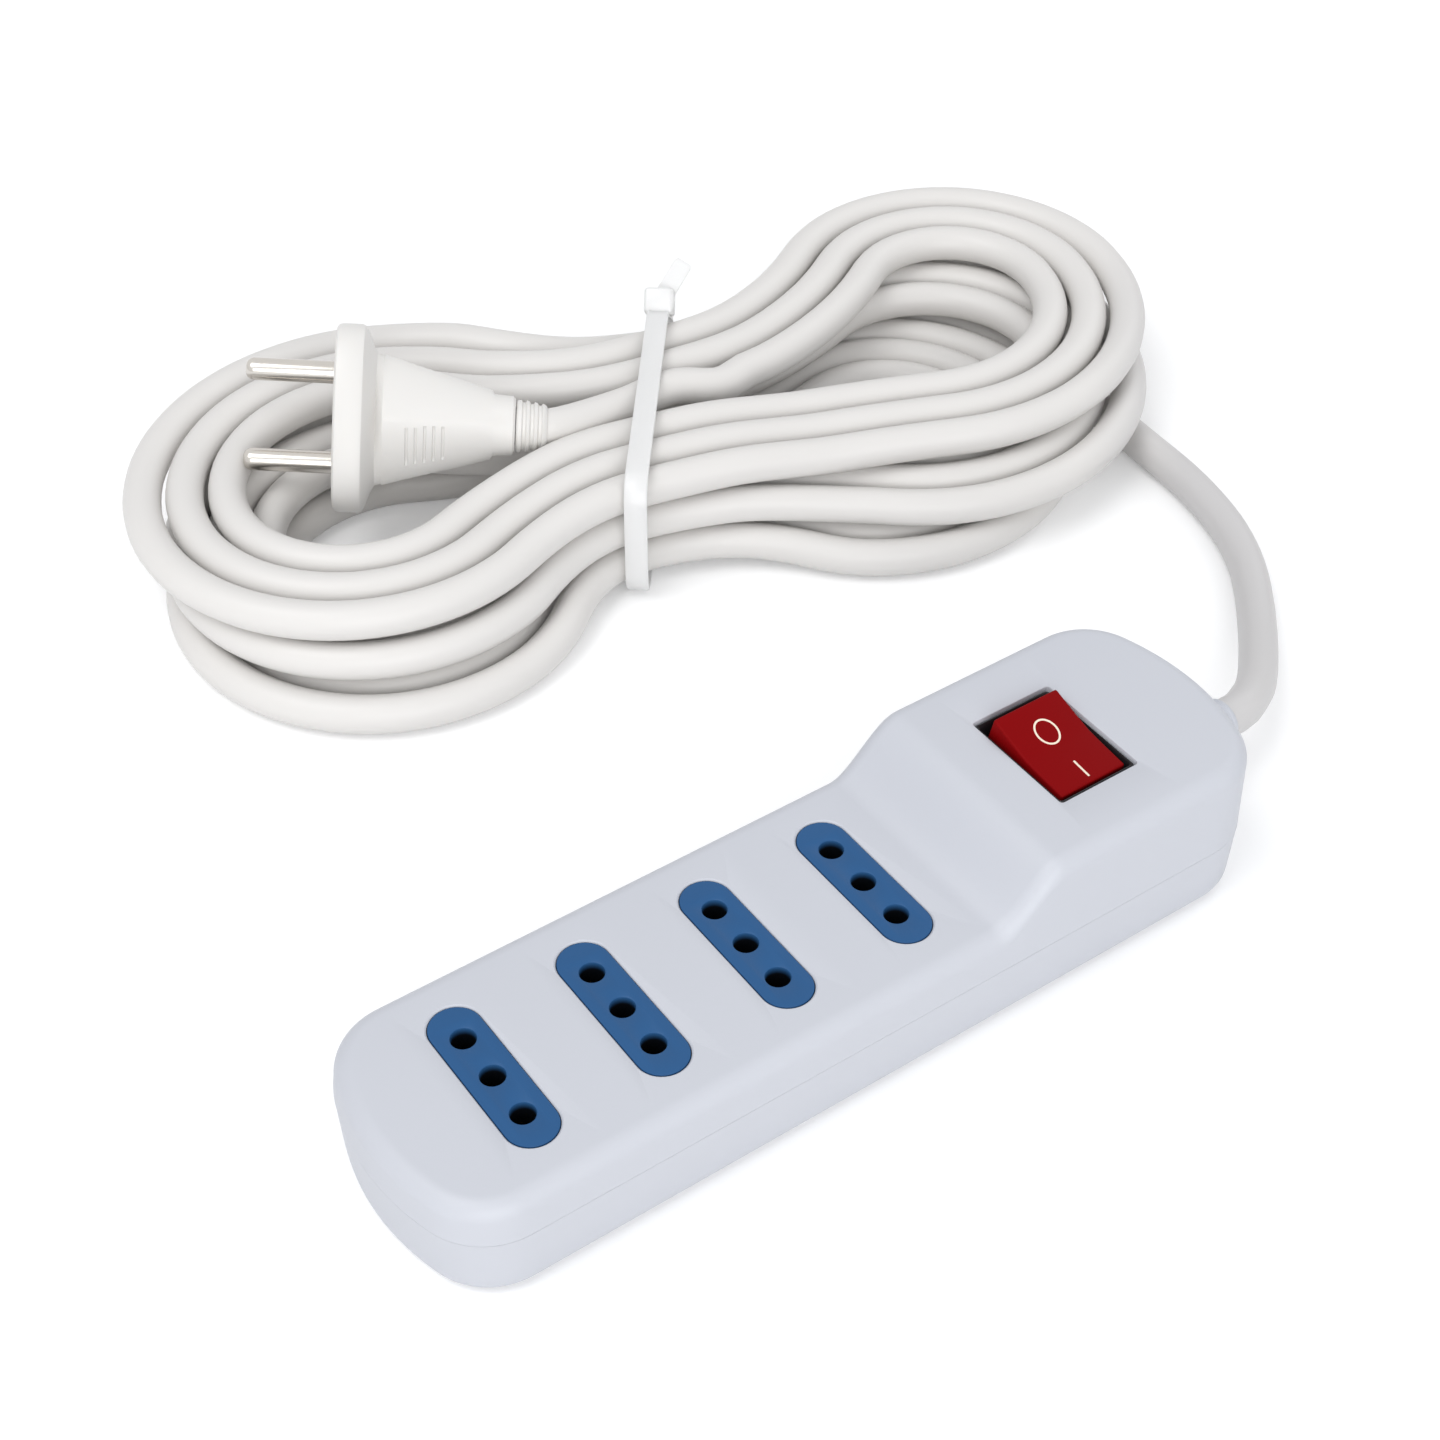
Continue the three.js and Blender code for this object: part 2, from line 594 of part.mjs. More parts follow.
// ---------------------------------------------------------------- hank
// Radius of the arc that leads a circle into the waist, from the way to the circle's centre.
function leadRadius(along, across, radius) {
  return (along ** 2 + across ** 2 - radius ** 2) / (2 * (radius - across));
}

// One lobe at the left of the waist, in waist coordinates: out from its near crossing along an arc, round a
// wide circle and a smaller one, and back along an arc to its far crossing. `inset` moves the
// strand inwards.
function lobe([away, shift, endRadius, sideRadius], part, inset) {
  const { half, skew } = WAIST;
  const endX = -away;
  const sideX = -away + sideRadius - endRadius;
  const nearArc = leadRadius(skew - sideX, shift + half, sideRadius);
  const farArc = leadRadius(-skew - endX, half - shift, endRadius);
  const nearTurn = Math.atan2(skew - sideX, shift + half + nearArc);
  const farTurn = Math.atan2(-skew - endX, half - shift + farArc);
  const lengths = [
    nearArc * nearTurn, sideRadius * (Math.PI / 2 + nearTurn),
    endRadius * (Math.PI / 2 + farTurn), farArc * farTurn,
  ];
  let d = part * lengths.reduce((sum, length) => sum + length, 0);
  if (d < lengths[0]) {
    const a = d / nearArc;
    return [skew - (nearArc + inset) * Math.sin(a), -half - nearArc + (nearArc + inset) * Math.cos(a)];
  }
  d -= lengths[0];
  if (d < lengths[1]) {
    const a = nearTurn - Math.PI / 2 - d / sideRadius;
    return [sideX + (sideRadius - inset) * Math.cos(a), shift + (sideRadius - inset) * Math.sin(a)];
  }
  d -= lengths[1];
  if (d < lengths[2]) {
    const a = Math.PI - d / endRadius;
    return [endX + (endRadius - inset) * Math.cos(a), shift + (endRadius - inset) * Math.sin(a)];
  }
  d -= lengths[2];
  const a = farTurn - d / farArc;
  return [-skew - (farArc + inset) * Math.sin(a), half + farArc - (farArc + inset) * Math.cos(a)];
}

// The hank's centreline; turns are counted from the first far crossing of the waist.
// Each layer spirals in or out, and the next one spirals back. The climb lies along the far run
// of the waist.
function hankPoint(turns) {
  const halfTurn = Math.floor(2 * turns);
  const part = 2 * turns - halfTurn;
  const there = 2 * LAYER_TURNS;
  const phase = ((turns % there) + there) % there;
  const out = turns < 0 ? turns : Math.min(phase, there - phase);
  const layer = Math.min(Math.max(Math.floor(turns / LAYER_TURNS), 0), LAYERS - 1);
  let x;
  let y;
  if (halfTurn % 2 === 0) {
    [x, y] = lobe(LEFT_LOBES[layer], part, out * PITCH);
    y = -y;
  } else {
    [x, y] = lobe(RIGHT_LOBES[layer], part, out * PITCH);
    x = -x;
  }
  let z = CORD / 2 + WAIST.lift * (1 - smooth(12, 40, Math.abs(x)));
  for (let i = 1; i < LAYERS; i++) {
    const change = i * LAYER_TURNS;
    z += LAYER * smooth(change - CLIMB, change + CLIMB, turns);
  }
  const turn = THREE.MathUtils.degToRad(WAIST.turn);
  return new THREE.Vector3(
    WAIST.x + x * Math.cos(turn) - y * Math.sin(turn),
    WAIST.y + x * Math.sin(turn) + y * Math.cos(turn), z);
}

function hankPoints(perLoop) {
  const span = END_TURN + START_TURN;
  const steps = Math.round(span * perLoop);
  return Array.from({ length: steps + 1 }, (_, i) => hankPoint(-START_TURN + (span * i) / steps));
}

// ---------------------------------------------------------------- plug
function plugMatrix() {
  const x = new THREE.Vector3(...FLANGE.axis).normalize();
  const y = new THREE.Vector3(...FLANGE.pins);
  y.addScaledVector(x, -y.dot(x)).normalize();
  const z = new THREE.Vector3().crossVectors(x, y);
  return new THREE.Matrix4().makeBasis(x, y, z).setPosition(...FLANGE.at);
}
const PLUG = plugMatrix();

function plugPoint(x) {
  return new THREE.Vector3(x, 0, 0).applyMatrix4(PLUG);
}

// Oval ring of the plug in its own YZ plane, as a loft section.
function oval(x, halfY, halfZ, power) {
  const sides = 24;
  return Array.from({ length: sides }, (_, i) => {
    const a = (2 * Math.PI * i) / sides;
    const c = Math.cos(a);
    const s = Math.sin(a);
    return [x, halfY * Math.sign(c) * Math.abs(c) ** power, halfZ * Math.sign(s) * Math.abs(s) ** power];
  });
}

function loft(sections) {
  const sides = sections[0].length;
  const position = sections.flat(2);
  const index = [];
  for (let r = 0; r + 1 < sections.length; r++) {
    for (let k = 0; k < sides; k++) {
      const a = r * sides + k;
      const b = r * sides + ((k + 1) % sides);
      index.push(a, b, b + sides, a, b + sides, a + sides);
    }
  }
  const last = (sections.length - 1) * sides;
  for (let k = 1; k + 1 < sides; k++) {
    index.push(0, k + 1, k);
    index.push(last, last + k, last + k + 1);
  }
  const g = new THREE.BufferGeometry();
  g.setAttribute("position", new THREE.Float32BufferAttribute(position, 3));
  g.setIndex(index);
  return g;
}

function plugBody() {
  const halfY = FLANGE_LONG / 2;
  const halfZ = FLANGE_HIGH / 2;
  const rear = -FLANGE_THICK - BODY_LENGTH;
  const g = loft([
    oval(rear, 6.5, 6.2, 0.8),
    oval(rear + 8, 8.5, 6.6, 0.8),
    oval(rear + 16, 12, 7.2, 0.8),
    oval(-FLANGE_THICK - 0.5, 15, 8, 0.8),
    oval(-FLANGE_THICK, halfY - 1, halfZ - 1, 0.75),
    oval(-FLANGE_THICK + 1, halfY, halfZ, 0.75),
    oval(-1, halfY, halfZ, 0.75),
    oval(0, halfY - 1, halfZ - 1, 0.75),
  ]);
  const sockets = [-PIN_PITCH, PIN_PITCH].map((y) => alongX(-6, 1, y, 0, PIN_RADIUS + 0.1, 16));
  const cord = alongX(rear - 1, rear + 6, 0, 0, CORD / 2 + GAP, 12);
  return cut(g, ...sockets, cord).applyMatrix4(PLUG);
}

function plugRelief() {
  const front = -FLANGE_THICK - BODY_LENGTH - GAP;
  const bore = CORD / 2 + GAP;
  const profile = [
    [bore, front - RELIEF_LENGTH], [bore + 0.6, front - RELIEF_LENGTH], [6, front], [bore, front],
    [bore, front - RELIEF_LENGTH],
  ];
  return turned(profile, 14).rotateY(Math.PI / 2).applyMatrix4(PLUG);
}

function plugPin(y) {
  const g = turned([
    [0, -6 + GAP], [PIN_RADIUS, -6 + GAP], [PIN_RADIUS, PIN_LENGTH - 1.4], [1.9, PIN_LENGTH - 0.5],
    [1.1, PIN_LENGTH], [0, PIN_LENGTH],
  ], 16);
  return g.rotateY(Math.PI / 2).translate(0, y, 0).applyMatrix4(PLUG);
}

// ---------------------------------------------------------------- cable tie
// Belt round the strands of the waist: the outline of a disc rolled round the strand centres.
function beltOutline(radius) {
  const n = TIE_CENTRES.length;
  const out = [];
  for (let i = 0; i < n; i++) {
    const before = TIE_CENTRES[(i + n - 1) % n];
    const here = TIE_CENTRES[i];
    const after = TIE_CENTRES[(i + 1) % n];
    const a0 = Math.atan2(here[1] - before[1], here[0] - before[0]) - Math.PI / 2;
    let a1 = Math.atan2(after[1] - here[1], after[0] - here[0]) - Math.PI / 2;
    while (a1 < a0) a1 += 2 * Math.PI;
    const steps = Math.max(2, Math.ceil((a1 - a0) / 0.4));
    for (let k = 0; k <= steps; k++) {
      const a = a0 + ((a1 - a0) * k) / steps;
      out.push(new THREE.Vector2(here[0] + radius * Math.cos(a), here[1] + radius * Math.sin(a)));
    }
  }
  return out;
}

// Drawn with the way across the waist as X, up as Y and the band's width along Z.
function cableTie() {
  const inside = CORD / 2 + TIE_SLACK;
  const s = new THREE.Shape(beltOutline(inside + TIE_THICK));
  s.holes.push(new THREE.Path(beltOutline(inside)));
  const band = new THREE.ExtrudeGeometry(s, { depth: TIE_WIDE, bevelEnabled: false });
  band.translate(0, 0, -TIE_WIDE / 2);
  const { at, half, turn, wide } = TIE_HEAD;
  const head = box(-half[0], half[0], -half[1], half[1], -wide / 2, wide / 2);
  const tailHalf = TIE_WIDE / 2 - 0.3;
  const tail = box(-TIE_THICK / 2, TIE_THICK / 2, 0, half[1] + TIE_TAIL.length, -tailHalf, tailHalf);
  tail.rotateX(THREE.MathUtils.degToRad(TIE_TAIL.lean));
  for (const piece of [head, tail]) {
    piece.rotateZ(THREE.MathUtils.degToRad(turn));
    piece.translate(...at, 0);
  }
  const g = join(band, head, tail);
  g.applyMatrix4(new THREE.Matrix4().makeBasis(
    new THREE.Vector3(0, 1, 0), new THREE.Vector3(0, 0, 1), new THREE.Vector3(1, 0, 0)));
  g.rotateZ(THREE.MathUtils.degToRad(TIE.turn));
  return g.translate(TIE.x, TIE.y, 0);
}

// ---------------------------------------------------------------- assembly
add("top_cover", topCover(), housingWhite);
add("bottom_cover", bottomCover(), housingWhite);
HOUSING_SCREWS.forEach(([x, y], i) => {
  add("housing_screw_" + (i + 1),
    screw(x, y, SCREW_HEAD_LOW, SCREW_HEAD_TOP, SCREW_TIP, SCREW_SHANK, SCREW_HEAD), springSteel);
});
socketXs().forEach((x, i) => {
  add("socket_insert_" + (i + 1), socketInsert(x), socketBlue);
  add("contact_live_" + (i + 1), sleeve(x, PIN_PITCH), brass);
  add("contact_earth_" + (i + 1), sleeve(x, 0), brass);
  add("contact_neutral_" + (i + 1), sleeve(x, -PIN_PITCH), brass);
});
add("busbar_live", busbar(PIN_PITCH, BAR_END), brass);
add("busbar_earth", busbar(0, BAR_END - 4), brass);
add("busbar_neutral", busbar(-PIN_PITCH, BAR_END), brass);

add("switch_frame", switchFrame(), switchBlack);
add("rocker", rocker(), rockerRed);
add("switch_plunger", plunger(), steel);
add("plunger_spring", spring(), springSteel);
add("contact_blade", contactBlade(), brass);
add("terminal_line_in", terminal(0, BLADE_Z - 0.1), brass);
add("terminal_line_out", terminal(TAB_PITCH, FRAME_BASE + FRAME_FLOOR + 0.6), brass);
add("terminal_neutral", terminal(-TAB_PITCH, FRAME_BASE + FRAME_FLOOR + 0.6), brass);
add("neon_lamp", neonLamp(), lampGlass);

add("cord_clamp", cordClamp(), switchBlack);
[-CLAMP_SCREW_Y, CLAMP_SCREW_Y].forEach((y, i) => {
  const head = CLAMP_BASE + CLAMP_THICK;
  const body = screw(CLAMP_X, y, head + 1.8, head, CLAMP_BASE - 7, CLAMP_SHANK, 2.6);
  add("clamp_screw_" + (i + 1), body, springSteel);
});
const endRun = through([[CORD_INSIDE, 0, CORD_Z], [BUSHING_END, 0, CORD_Z]], 4);
add("cord_end", tube(endRun, CORD / 2, 12), cordWhite);
add("cord_bushing", bushing(), housingWhite);
const tabFoot = TAB_LOW + 1.5;
const wireDrop = CORD_Z - 1.6;
const barSide = BAR_Z + BAR_THICK / 2;
add("wire_live_in", tube(through([
  [CORD_INSIDE - GAP, 1.8, wireDrop], [CORD_INSIDE - 1.5, 1.8, wireDrop], [SWITCH_X + 9.8, 1.7, 10.6],
  [SWITCH_X + 7.4, 1.2, 9], [SWITCH_X + 4.9, 0.3, tabFoot], [SWITCH_X + TAB_WIDE / 2 + 1.6, 0, tabFoot],
  [SWITCH_X + TAB_WIDE / 2 + GAP, 0, tabFoot],
], 16), WIRE / 2, 8, new THREE.Vector3(-1, 0, 0)), wireBrown);
add("wire_live_out", tube(through([
  [SWITCH_X - TAB_WIDE / 2 - GAP, TAB_PITCH, tabFoot], [SWITCH_X - 6.6, TAB_PITCH + 0.4, tabFoot - 0.5],
  [BAR_END + 16, 8.8, BAR_Z + 1], [BAR_END + 6, PIN_PITCH, barSide + 0.7],
  [BAR_END + GAP, PIN_PITCH, barSide + 0.7],
], 16), WIRE / 2, 8), wireBrown);
add("wire_neutral", tube(through([
  [CORD_INSIDE - GAP, -1.8, wireDrop], [CORD_INSIDE - 1.5, -1.8, wireDrop], [SWITCH_X + 9.8, -2.2, 10.4],
  [SWITCH_X + 6.9, -3.8, 7.2], [SWITCH_X + 2.4, -4.6, 4.8], [SWITCH_X - 4.6, -5, 4.4],
  [BAR_END + 18, -8, 4.8],
  [BAR_END + 8, -PIN_PITCH, barSide + 0.4], [BAR_END + GAP, -PIN_PITCH, barSide + 0.4],
], 22), WIRE / 2, 8, new THREE.Vector3(-1, 0, 0)), wireBlue);

// free cord: lead, hank and tail meet face to face, each end straight for about one diameter
const hank = hankPoints(HANK_STEPS);
const startWay = hank[1].clone().sub(hank[0]).normalize();
const endWay = hank.at(-1).clone().sub(hank.at(-2)).normalize();
const leadEnd = hank[0].clone().addScaledVector(startWay, -GAP);
const leadEndBack = leadEnd.clone().addScaledVector(startWay, -CORD);
const tailStart = hank.at(-1).clone().addScaledVector(endWay, GAP);
const tailStartOn = tailStart.clone().addScaledVector(endWay, CORD);
const plugRear = -FLANGE_THICK - BODY_LENGTH - GAP;
const insideRelief = [RELIEF_LENGTH, RELIEF_LENGTH / 2, -3].map((d) => plugPoint(plugRear - d));
const lead = through([
  [BUSHING_END + GAP, 0, CORD_Z], [BUSHING_END + GAP + 4, 0.1, CORD_Z], ...LEAD_ROUTE, leadEndBack.toArray(),
  leadEnd.toArray(),
], 44);
const tail = through([
  tailStart.toArray(), tailStartOn.toArray(), ...TAIL_ROUTE, ...insideRelief.map((p) => p.toArray()),
], 24);
add("cord_lead", tube(lead, CORD / 2, 8, new THREE.Vector3(1, 0, 0), startWay), cordWhite);
add("cord_hank", tube(hank, CORD / 2, HANK_SIDES), cordWhite);
add("cord_tail", tube(tail, CORD / 2, 8, endWay), cordWhite);
add("plug_body", plugBody(), plugWhite);
add("plug_relief", plugRelief(), plugWhite);
add("plug_pin_1", plugPin(PIN_PITCH), steel);
add("plug_pin_2", plugPin(-PIN_PITCH), steel);
add("cable_tie", cableTie(), tieClear);

// Least gap between strands of the hank, measured between all its stretches that aren't neighbours.
function leastGap(points) {
  let least = Infinity;
  const skip = Math.ceil((3 * CORD) / points[0].distanceTo(points[1])) + 1;
  for (let i = 0; i + 1 < points.length; i++) {
    const mine = new THREE.Line3(points[i], points[i + 1]);
    for (let j = i + skip; j + 1 < points.length; j++) {
      for (let k = 0; k <= 4; k++) {
        const p = new THREE.Vector3().lerpVectors(points[j], points[j + 1], k / 4);
        const q = mine.closestPointToPoint(p, true, new THREE.Vector3());
        least = Math.min(least, q.distanceTo(p) - CORD);
      }
    }
  }
  return least;
}

function pathLength(points) {
  return points.slice(1).reduce((sum, p, i) => sum + p.distanceTo(points[i]), 0);
}
console.log("hank: least gap between strands " + leastGap(hank).toFixed(2) + " mm");
const cordLength = [lead, hank, tail].reduce((sum, run) => sum + pathLength(run), 0);
console.log("cord: " + cordLength.toFixed(0) + " mm outside");

export default root;
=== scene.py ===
import json
import math

import bpy
import numpy as np
from mathutils import Matrix, Vector


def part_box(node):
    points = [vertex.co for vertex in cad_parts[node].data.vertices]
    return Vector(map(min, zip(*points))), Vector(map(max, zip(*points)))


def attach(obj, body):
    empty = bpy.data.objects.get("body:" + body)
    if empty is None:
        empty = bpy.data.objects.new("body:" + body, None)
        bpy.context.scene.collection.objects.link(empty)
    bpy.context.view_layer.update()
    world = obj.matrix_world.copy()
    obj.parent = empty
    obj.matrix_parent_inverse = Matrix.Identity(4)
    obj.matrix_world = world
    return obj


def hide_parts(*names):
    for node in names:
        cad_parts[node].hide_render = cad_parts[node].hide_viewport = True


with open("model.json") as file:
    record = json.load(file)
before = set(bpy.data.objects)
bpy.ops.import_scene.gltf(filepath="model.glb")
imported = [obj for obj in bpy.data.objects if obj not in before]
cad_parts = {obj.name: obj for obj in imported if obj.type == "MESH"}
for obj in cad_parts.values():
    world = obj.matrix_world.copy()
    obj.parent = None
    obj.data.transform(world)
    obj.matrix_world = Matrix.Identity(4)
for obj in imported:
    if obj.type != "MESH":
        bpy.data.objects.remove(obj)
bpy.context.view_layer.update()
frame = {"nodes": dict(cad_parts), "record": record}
scene = bpy.context.scene
MM = 0.001

# ------------------------------------------------------------------ sizes, worked out from the frame
SOCKETS = 4
HOUSING_SCREWS = 4
TOP_LOW, TOP_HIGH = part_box("top_cover")
INSERT_BOXES = [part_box("socket_insert_%d" % (i + 1)) for i in range(SOCKETS)]
FRAME_LOW, FRAME_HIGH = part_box("switch_frame")
BUSHING_LOW, BUSHING_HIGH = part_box("cord_bushing")

HALF_LENGTH = TOP_HIGH.x
HALF_WIDTH = TOP_HIGH.y
PARTING = TOP_LOW.z
HUMP_TOP = TOP_HIGH.z
SOCKET_XS = [(low.x + high.x) / 2 for low, high in INSERT_BOXES]
INSERT_PROUD = 0.2 * MM
LOW_TOP = INSERT_BOXES[0][1].z - INSERT_PROUD
SWITCH_X = (FRAME_LOW.x + FRAME_HIGH.x) / 2

PAST = 1 * MM  # how far a cutter reaches past what it cuts
SEAM = 0.06 * MM  # gap between the two covers
SEAM_STEP = 1.5 * MM  # how far from the seam the walls have gone in by SEAM_INSET
SEAM_INSET = 0.1 * MM
WALL = 2.4 * MM
DRAFT = 0.5 * MM
TOP_ROUND = 3.6 * MM
BASE_ROUND = 3 * MM
RAMP = (22 * MM, 37 * MM)  # the ramp between the two heights, along X
CORNER = 14 * MM  # plan radius of the corners
END_TILT = math.radians(18)  # how far the bowed ends have turned where the corners take over
CORD_HOLE = 6.15 * MM
INSERT_CAP = 4.8 * MM  # half width of the stadium
INSERT_REACH = 12 * MM  # Y of the stadium's cap centres
PIN_PITCH = 9.5 * MM
PIN_RADIUS = 2.4 * MM
HOLE_RADIUS = 2.2 * MM
OPENING = (9 * MM, 12.5 * MM)  # half sizes of the switch's opening
ROCKER_X = 7.9 * MM  # half sizes of the rocker
ROCKER_Y = 10 * MM
ROCKER_LOW = -3 * MM  # its underside below the pivot
ROCKER_DIP = 5 * MM  # its middle above the pivot, and how much higher its ends are
ROCKER_RISE = 1 * MM
PIVOT = Vector((SWITCH_X, 0, 27.5 * MM))
TILT = math.radians(11)
CORD = 8 * MM


def smooth(a, b, x):
    """Rises smoothly from 0 at a to 1 at b."""
    t = min(max((x - a) / (b - a), 0.0), 1.0)
    return t * t * (3 - 2 * t)


# ------------------------------------------------------------------ materials
def node_material(name):
    mat = bpy.data.materials.new(name)
    mat.use_nodes = True
    tree = mat.node_tree
    return mat, tree, tree.nodes["Principled BSDF"]


def add_bump(tree, bsdf, scale, strength, distance=0.0001, detail=4.0):
    """Fine moulded grain: noise in the object's own space, as a bump. Returns the place node."""
    where = tree.nodes.new("ShaderNodeTexCoord")
    noise = tree.nodes.new("ShaderNodeTexNoise")
    noise.inputs["Scale"].default_value = scale
    noise.inputs["Detail"].default_value = detail
    bump = tree.nodes.new("ShaderNodeBump")
    bump.inputs["Strength"].default_value = strength
    bump.inputs["Distance"].default_value = distance
    tree.links.new(where.outputs["Object"], noise.inputs["Vector"])
    tree.links.new(noise.outputs["Fac"], bump.inputs["Height"])
    tree.links.new(bump.outputs["Normal"], bsdf.inputs["Normal"])
    return where


def add_variation(tree, bsdf, where, color, scale, shift, rough, rough_shift):
    """Slow changes of tone, by the share `shift`, and of roughness over the surface."""
    noise = tree.nodes.new("ShaderNodeTexNoise")
    noise.inputs["Scale"].default_value = scale
    noise.inputs["Detail"].default_value = 3.0
    tree.links.new(where.outputs["Object"], noise.inputs["Vector"])
    mix = tree.nodes.new("ShaderNodeMix")
    mix.data_type = "RGBA"
    mix.inputs["A"].default_value = (*[c * (1 - shift) for c in color], 1)
    mix.inputs["B"].default_value = (*[min(c * (1 + shift), 1) for c in color], 1)
    tree.links.new(noise.outputs["Fac"], mix.inputs["Factor"])
    tree.links.new(mix.outputs["Result"], bsdf.inputs["Base Color"])
    span = tree.nodes.new("ShaderNodeMapRange")
    span.inputs["To Min"].default_value = rough - rough_shift
    span.inputs["To Max"].default_value = rough + rough_shift
    tree.links.new(noise.outputs["Fac"], span.inputs["Value"])
    tree.links.new(span.outputs["Result"], bsdf.inputs["Roughness"])


def plastic(name, color, rough, grain=900.0, bump=0.12, soft=0.0, shift=0.02, gloss=0.5):
    """Moulded plastic; `soft` is how much light scatters inside it."""
    mat, tree, bsdf = node_material(name)
    where = add_bump(tree, bsdf, grain, bump)
    add_variation(tree, bsdf, where, color, 35.0, shift, rough, rough_shift=0.05)
    bsdf.inputs["IOR"].default_value = 1.46
    bsdf.inputs["Specular IOR Level"].default_value = gloss
    if soft:
        bsdf.inputs["Subsurface Weight"].default_value = soft
        bsdf.inputs["Subsurface Radius"].default_value = (1.0, 0.8, 0.6)
        bsdf.inputs["Subsurface Scale"].default_value = 0.002
    return mat


def metal(name, color, rough, grain=1500.0, bump=0.05):
    mat, tree, bsdf = node_material(name)
    bsdf.inputs["Metallic"].default_value = 1.0
    where = add_bump(tree, bsdf, grain, bump, distance=0.00005)
    add_variation(tree, bsdf, where, color, 120.0, 0.05, rough, rough_shift=0.04)
    return mat


def glassy(name, color, rough):
    mat, tree, bsdf = node_material(name)
    where = add_bump(tree, bsdf, scale=300.0, strength=0.03)
    add_variation(tree, bsdf, where, color, 60.0, 0.03, rough, rough_shift=0.02)
    bsdf.inputs["Transmission Weight"].default_value = 0.8
    return mat


def painted_shade_by_place(mat, along, start, end, tint):
    """Blends the base colour into the tint from `start` to `end`, by place along a direction; this paints shade
    into the colour.
    """
    tree = mat.node_tree
    bsdf = tree.nodes["Principled BSDF"]
    where = tree.nodes.new("ShaderNodeTexCoord")
    dot = tree.nodes.new("ShaderNodeVectorMath")
    dot.operation = "DOT_PRODUCT"
    dot.inputs[1].default_value = along
    tree.links.new(where.outputs["Object"], dot.inputs[0])
    span = tree.nodes.new("ShaderNodeMapRange")
    span.inputs["From Min"].default_value = start
    span.inputs["From Max"].default_value = end
    tree.links.new(dot.outputs["Value"], span.inputs["Value"])
    blend = tree.nodes.new("ShaderNodeMix")
    blend.data_type = "RGBA"
    tree.links.new(span.outputs["Result"], blend.inputs["Factor"])
    tree.links.new(bsdf.inputs["Base Color"].links[0].from_socket, blend.inputs["A"])
    blend.inputs["B"].default_value = (*tint, 1)
    tree.links.new(blend.outputs["Result"], bsdf.inputs["Base Color"])
    return mat


def painted_hole_shade(mat):
    """Painted shade: darkens the blue to near black deep in the pin holes, where shade falls."""
    return painted_shade_by_place(mat, (0, 0, 1), LOW_TOP - 0.3 * MM, LOW_TOP - 1.8 * MM, (0.003, 0.004, 0.006))


def painted_lead_shade(mat):
    """Painted shade: the run of cord beside the strip is painted greyer than the hank, as shade falling on it."""
    return painted_shade_by_place(mat, (1, -1, 0), 52 * MM, 85 * MM, (0.56, 0.548, 0.545))


def nylon(name):
    """Milky translucent nylon of the cable tie."""
    mat, tree, bsdf = node_material(name)
    where = add_bump(tree, bsdf, scale=700.0, strength=0.1)
    milky = (0.93, 0.93, 0.92)
    add_variation(tree, bsdf, where, milky, 60.0, 0.02, rough=0.3, rough_shift=0.05)
    bsdf.inputs["Subsurface Weight"].default_value = 0.6
    bsdf.inputs["Subsurface Radius"].default_value = (1.0, 1.0, 1.0)
    bsdf.inputs["Subsurface Scale"].default_value = 0.002
    bsdf.inputs["Transmission Weight"].default_value = 0.25
    return mat


HOUSING = plastic("housing_white", (0.53, 0.545, 0.59), 0.45, shift=0.01)
# socket blue, with painted shade deep in its pin holes
BLUE = painted_hole_shade(plastic("socket_blue", (0.022, 0.09, 0.225), 0.42, bump=0.15, shift=0.05, gloss=0.2))
RED = plastic("rocker_red", (0.21, 0.002, 0.003), 0.5, grain=300.0, bump=0.02, shift=0.06, gloss=0.05)
MARK = plastic("mark_cream", (0.85, 0.74, 0.6), 0.45)
BLACK = plastic("switch_black", (0.012, 0.012, 0.014), 0.4, grain=600.0)
# cord white, with painted shade along the lead beside the strip
SHEATH = painted_lead_shade(plastic("cord_white", (0.70, 0.682, 0.66), 0.42, grain=500.0, bump=0.16, shift=0.015))
PLUG = plastic("plug_white", (0.73, 0.715, 0.69), 0.42, grain=700.0, bump=0.14, soft=0.06, shift=0.015)
TIE = nylon("tie_nylon")
STEEL = metal("pin_steel", (0.62, 0.59, 0.55), 0.2)
SCREW = metal("zinc_steel", (0.55, 0.55, 0.56), 0.32)
BRASS = metal("brass", (0.62, 0.42, 0.13), 0.3)
LAMP = glassy("lamp_glass", (0.9, 0.6, 0.4), 0.08)
BROWN = plastic("wire_brown", (0.09, 0.03, 0.015), 0.45)
BLUE_WIRE = plastic("wire_blue", (0.03, 0.13, 0.42), 0.45)

SLOT_MATERIALS = {
    "housing": HOUSING, "socket": BLUE, "rocker": RED, "switch_black": BLACK, "cord": SHEATH, "plug": PLUG,
    "tie": TIE, "steel": STEEL, "brass": BRASS, "screw": SCREW, "lamp": LAMP, "wire_brown": BROWN,
    "wire_blue": BLUE_WIRE,
}
NODE_SLOTS = {entry["node"]: entry["material_slot"] for entry in frame["record"]["subparts"]}
for node, slot in NODE_SLOTS.items():
    carried = frame["nodes"][node]
    carried.data.materials.clear()
    carried.data.materials.append(SLOT_MATERIALS[slot])


# ------------------------------------------------------------------ mesh helpers
def mesh_object(name, verts, faces, mat, smooth_angle=35):
    mesh = bpy.data.meshes.new(name)
    mesh.from_pydata([tuple(v) for v in verts], [], faces)
    mesh.validate()
    mesh.update()
    obj = bpy.data.objects.new(name, mesh)
    scene.collection.objects.link(obj)
    obj.data.materials.append(mat)
    shade(obj, smooth_angle)
    return obj


def shade(obj, angle):
    """Smooth shading, kept sharp where two faces meet at more than the angle."""
    mesh = obj.data
    mesh.polygons.foreach_set("use_smooth", [True] * len(mesh.polygons))
    mesh.set_sharp_from_angle(angle=math.radians(angle))
    mesh.update()


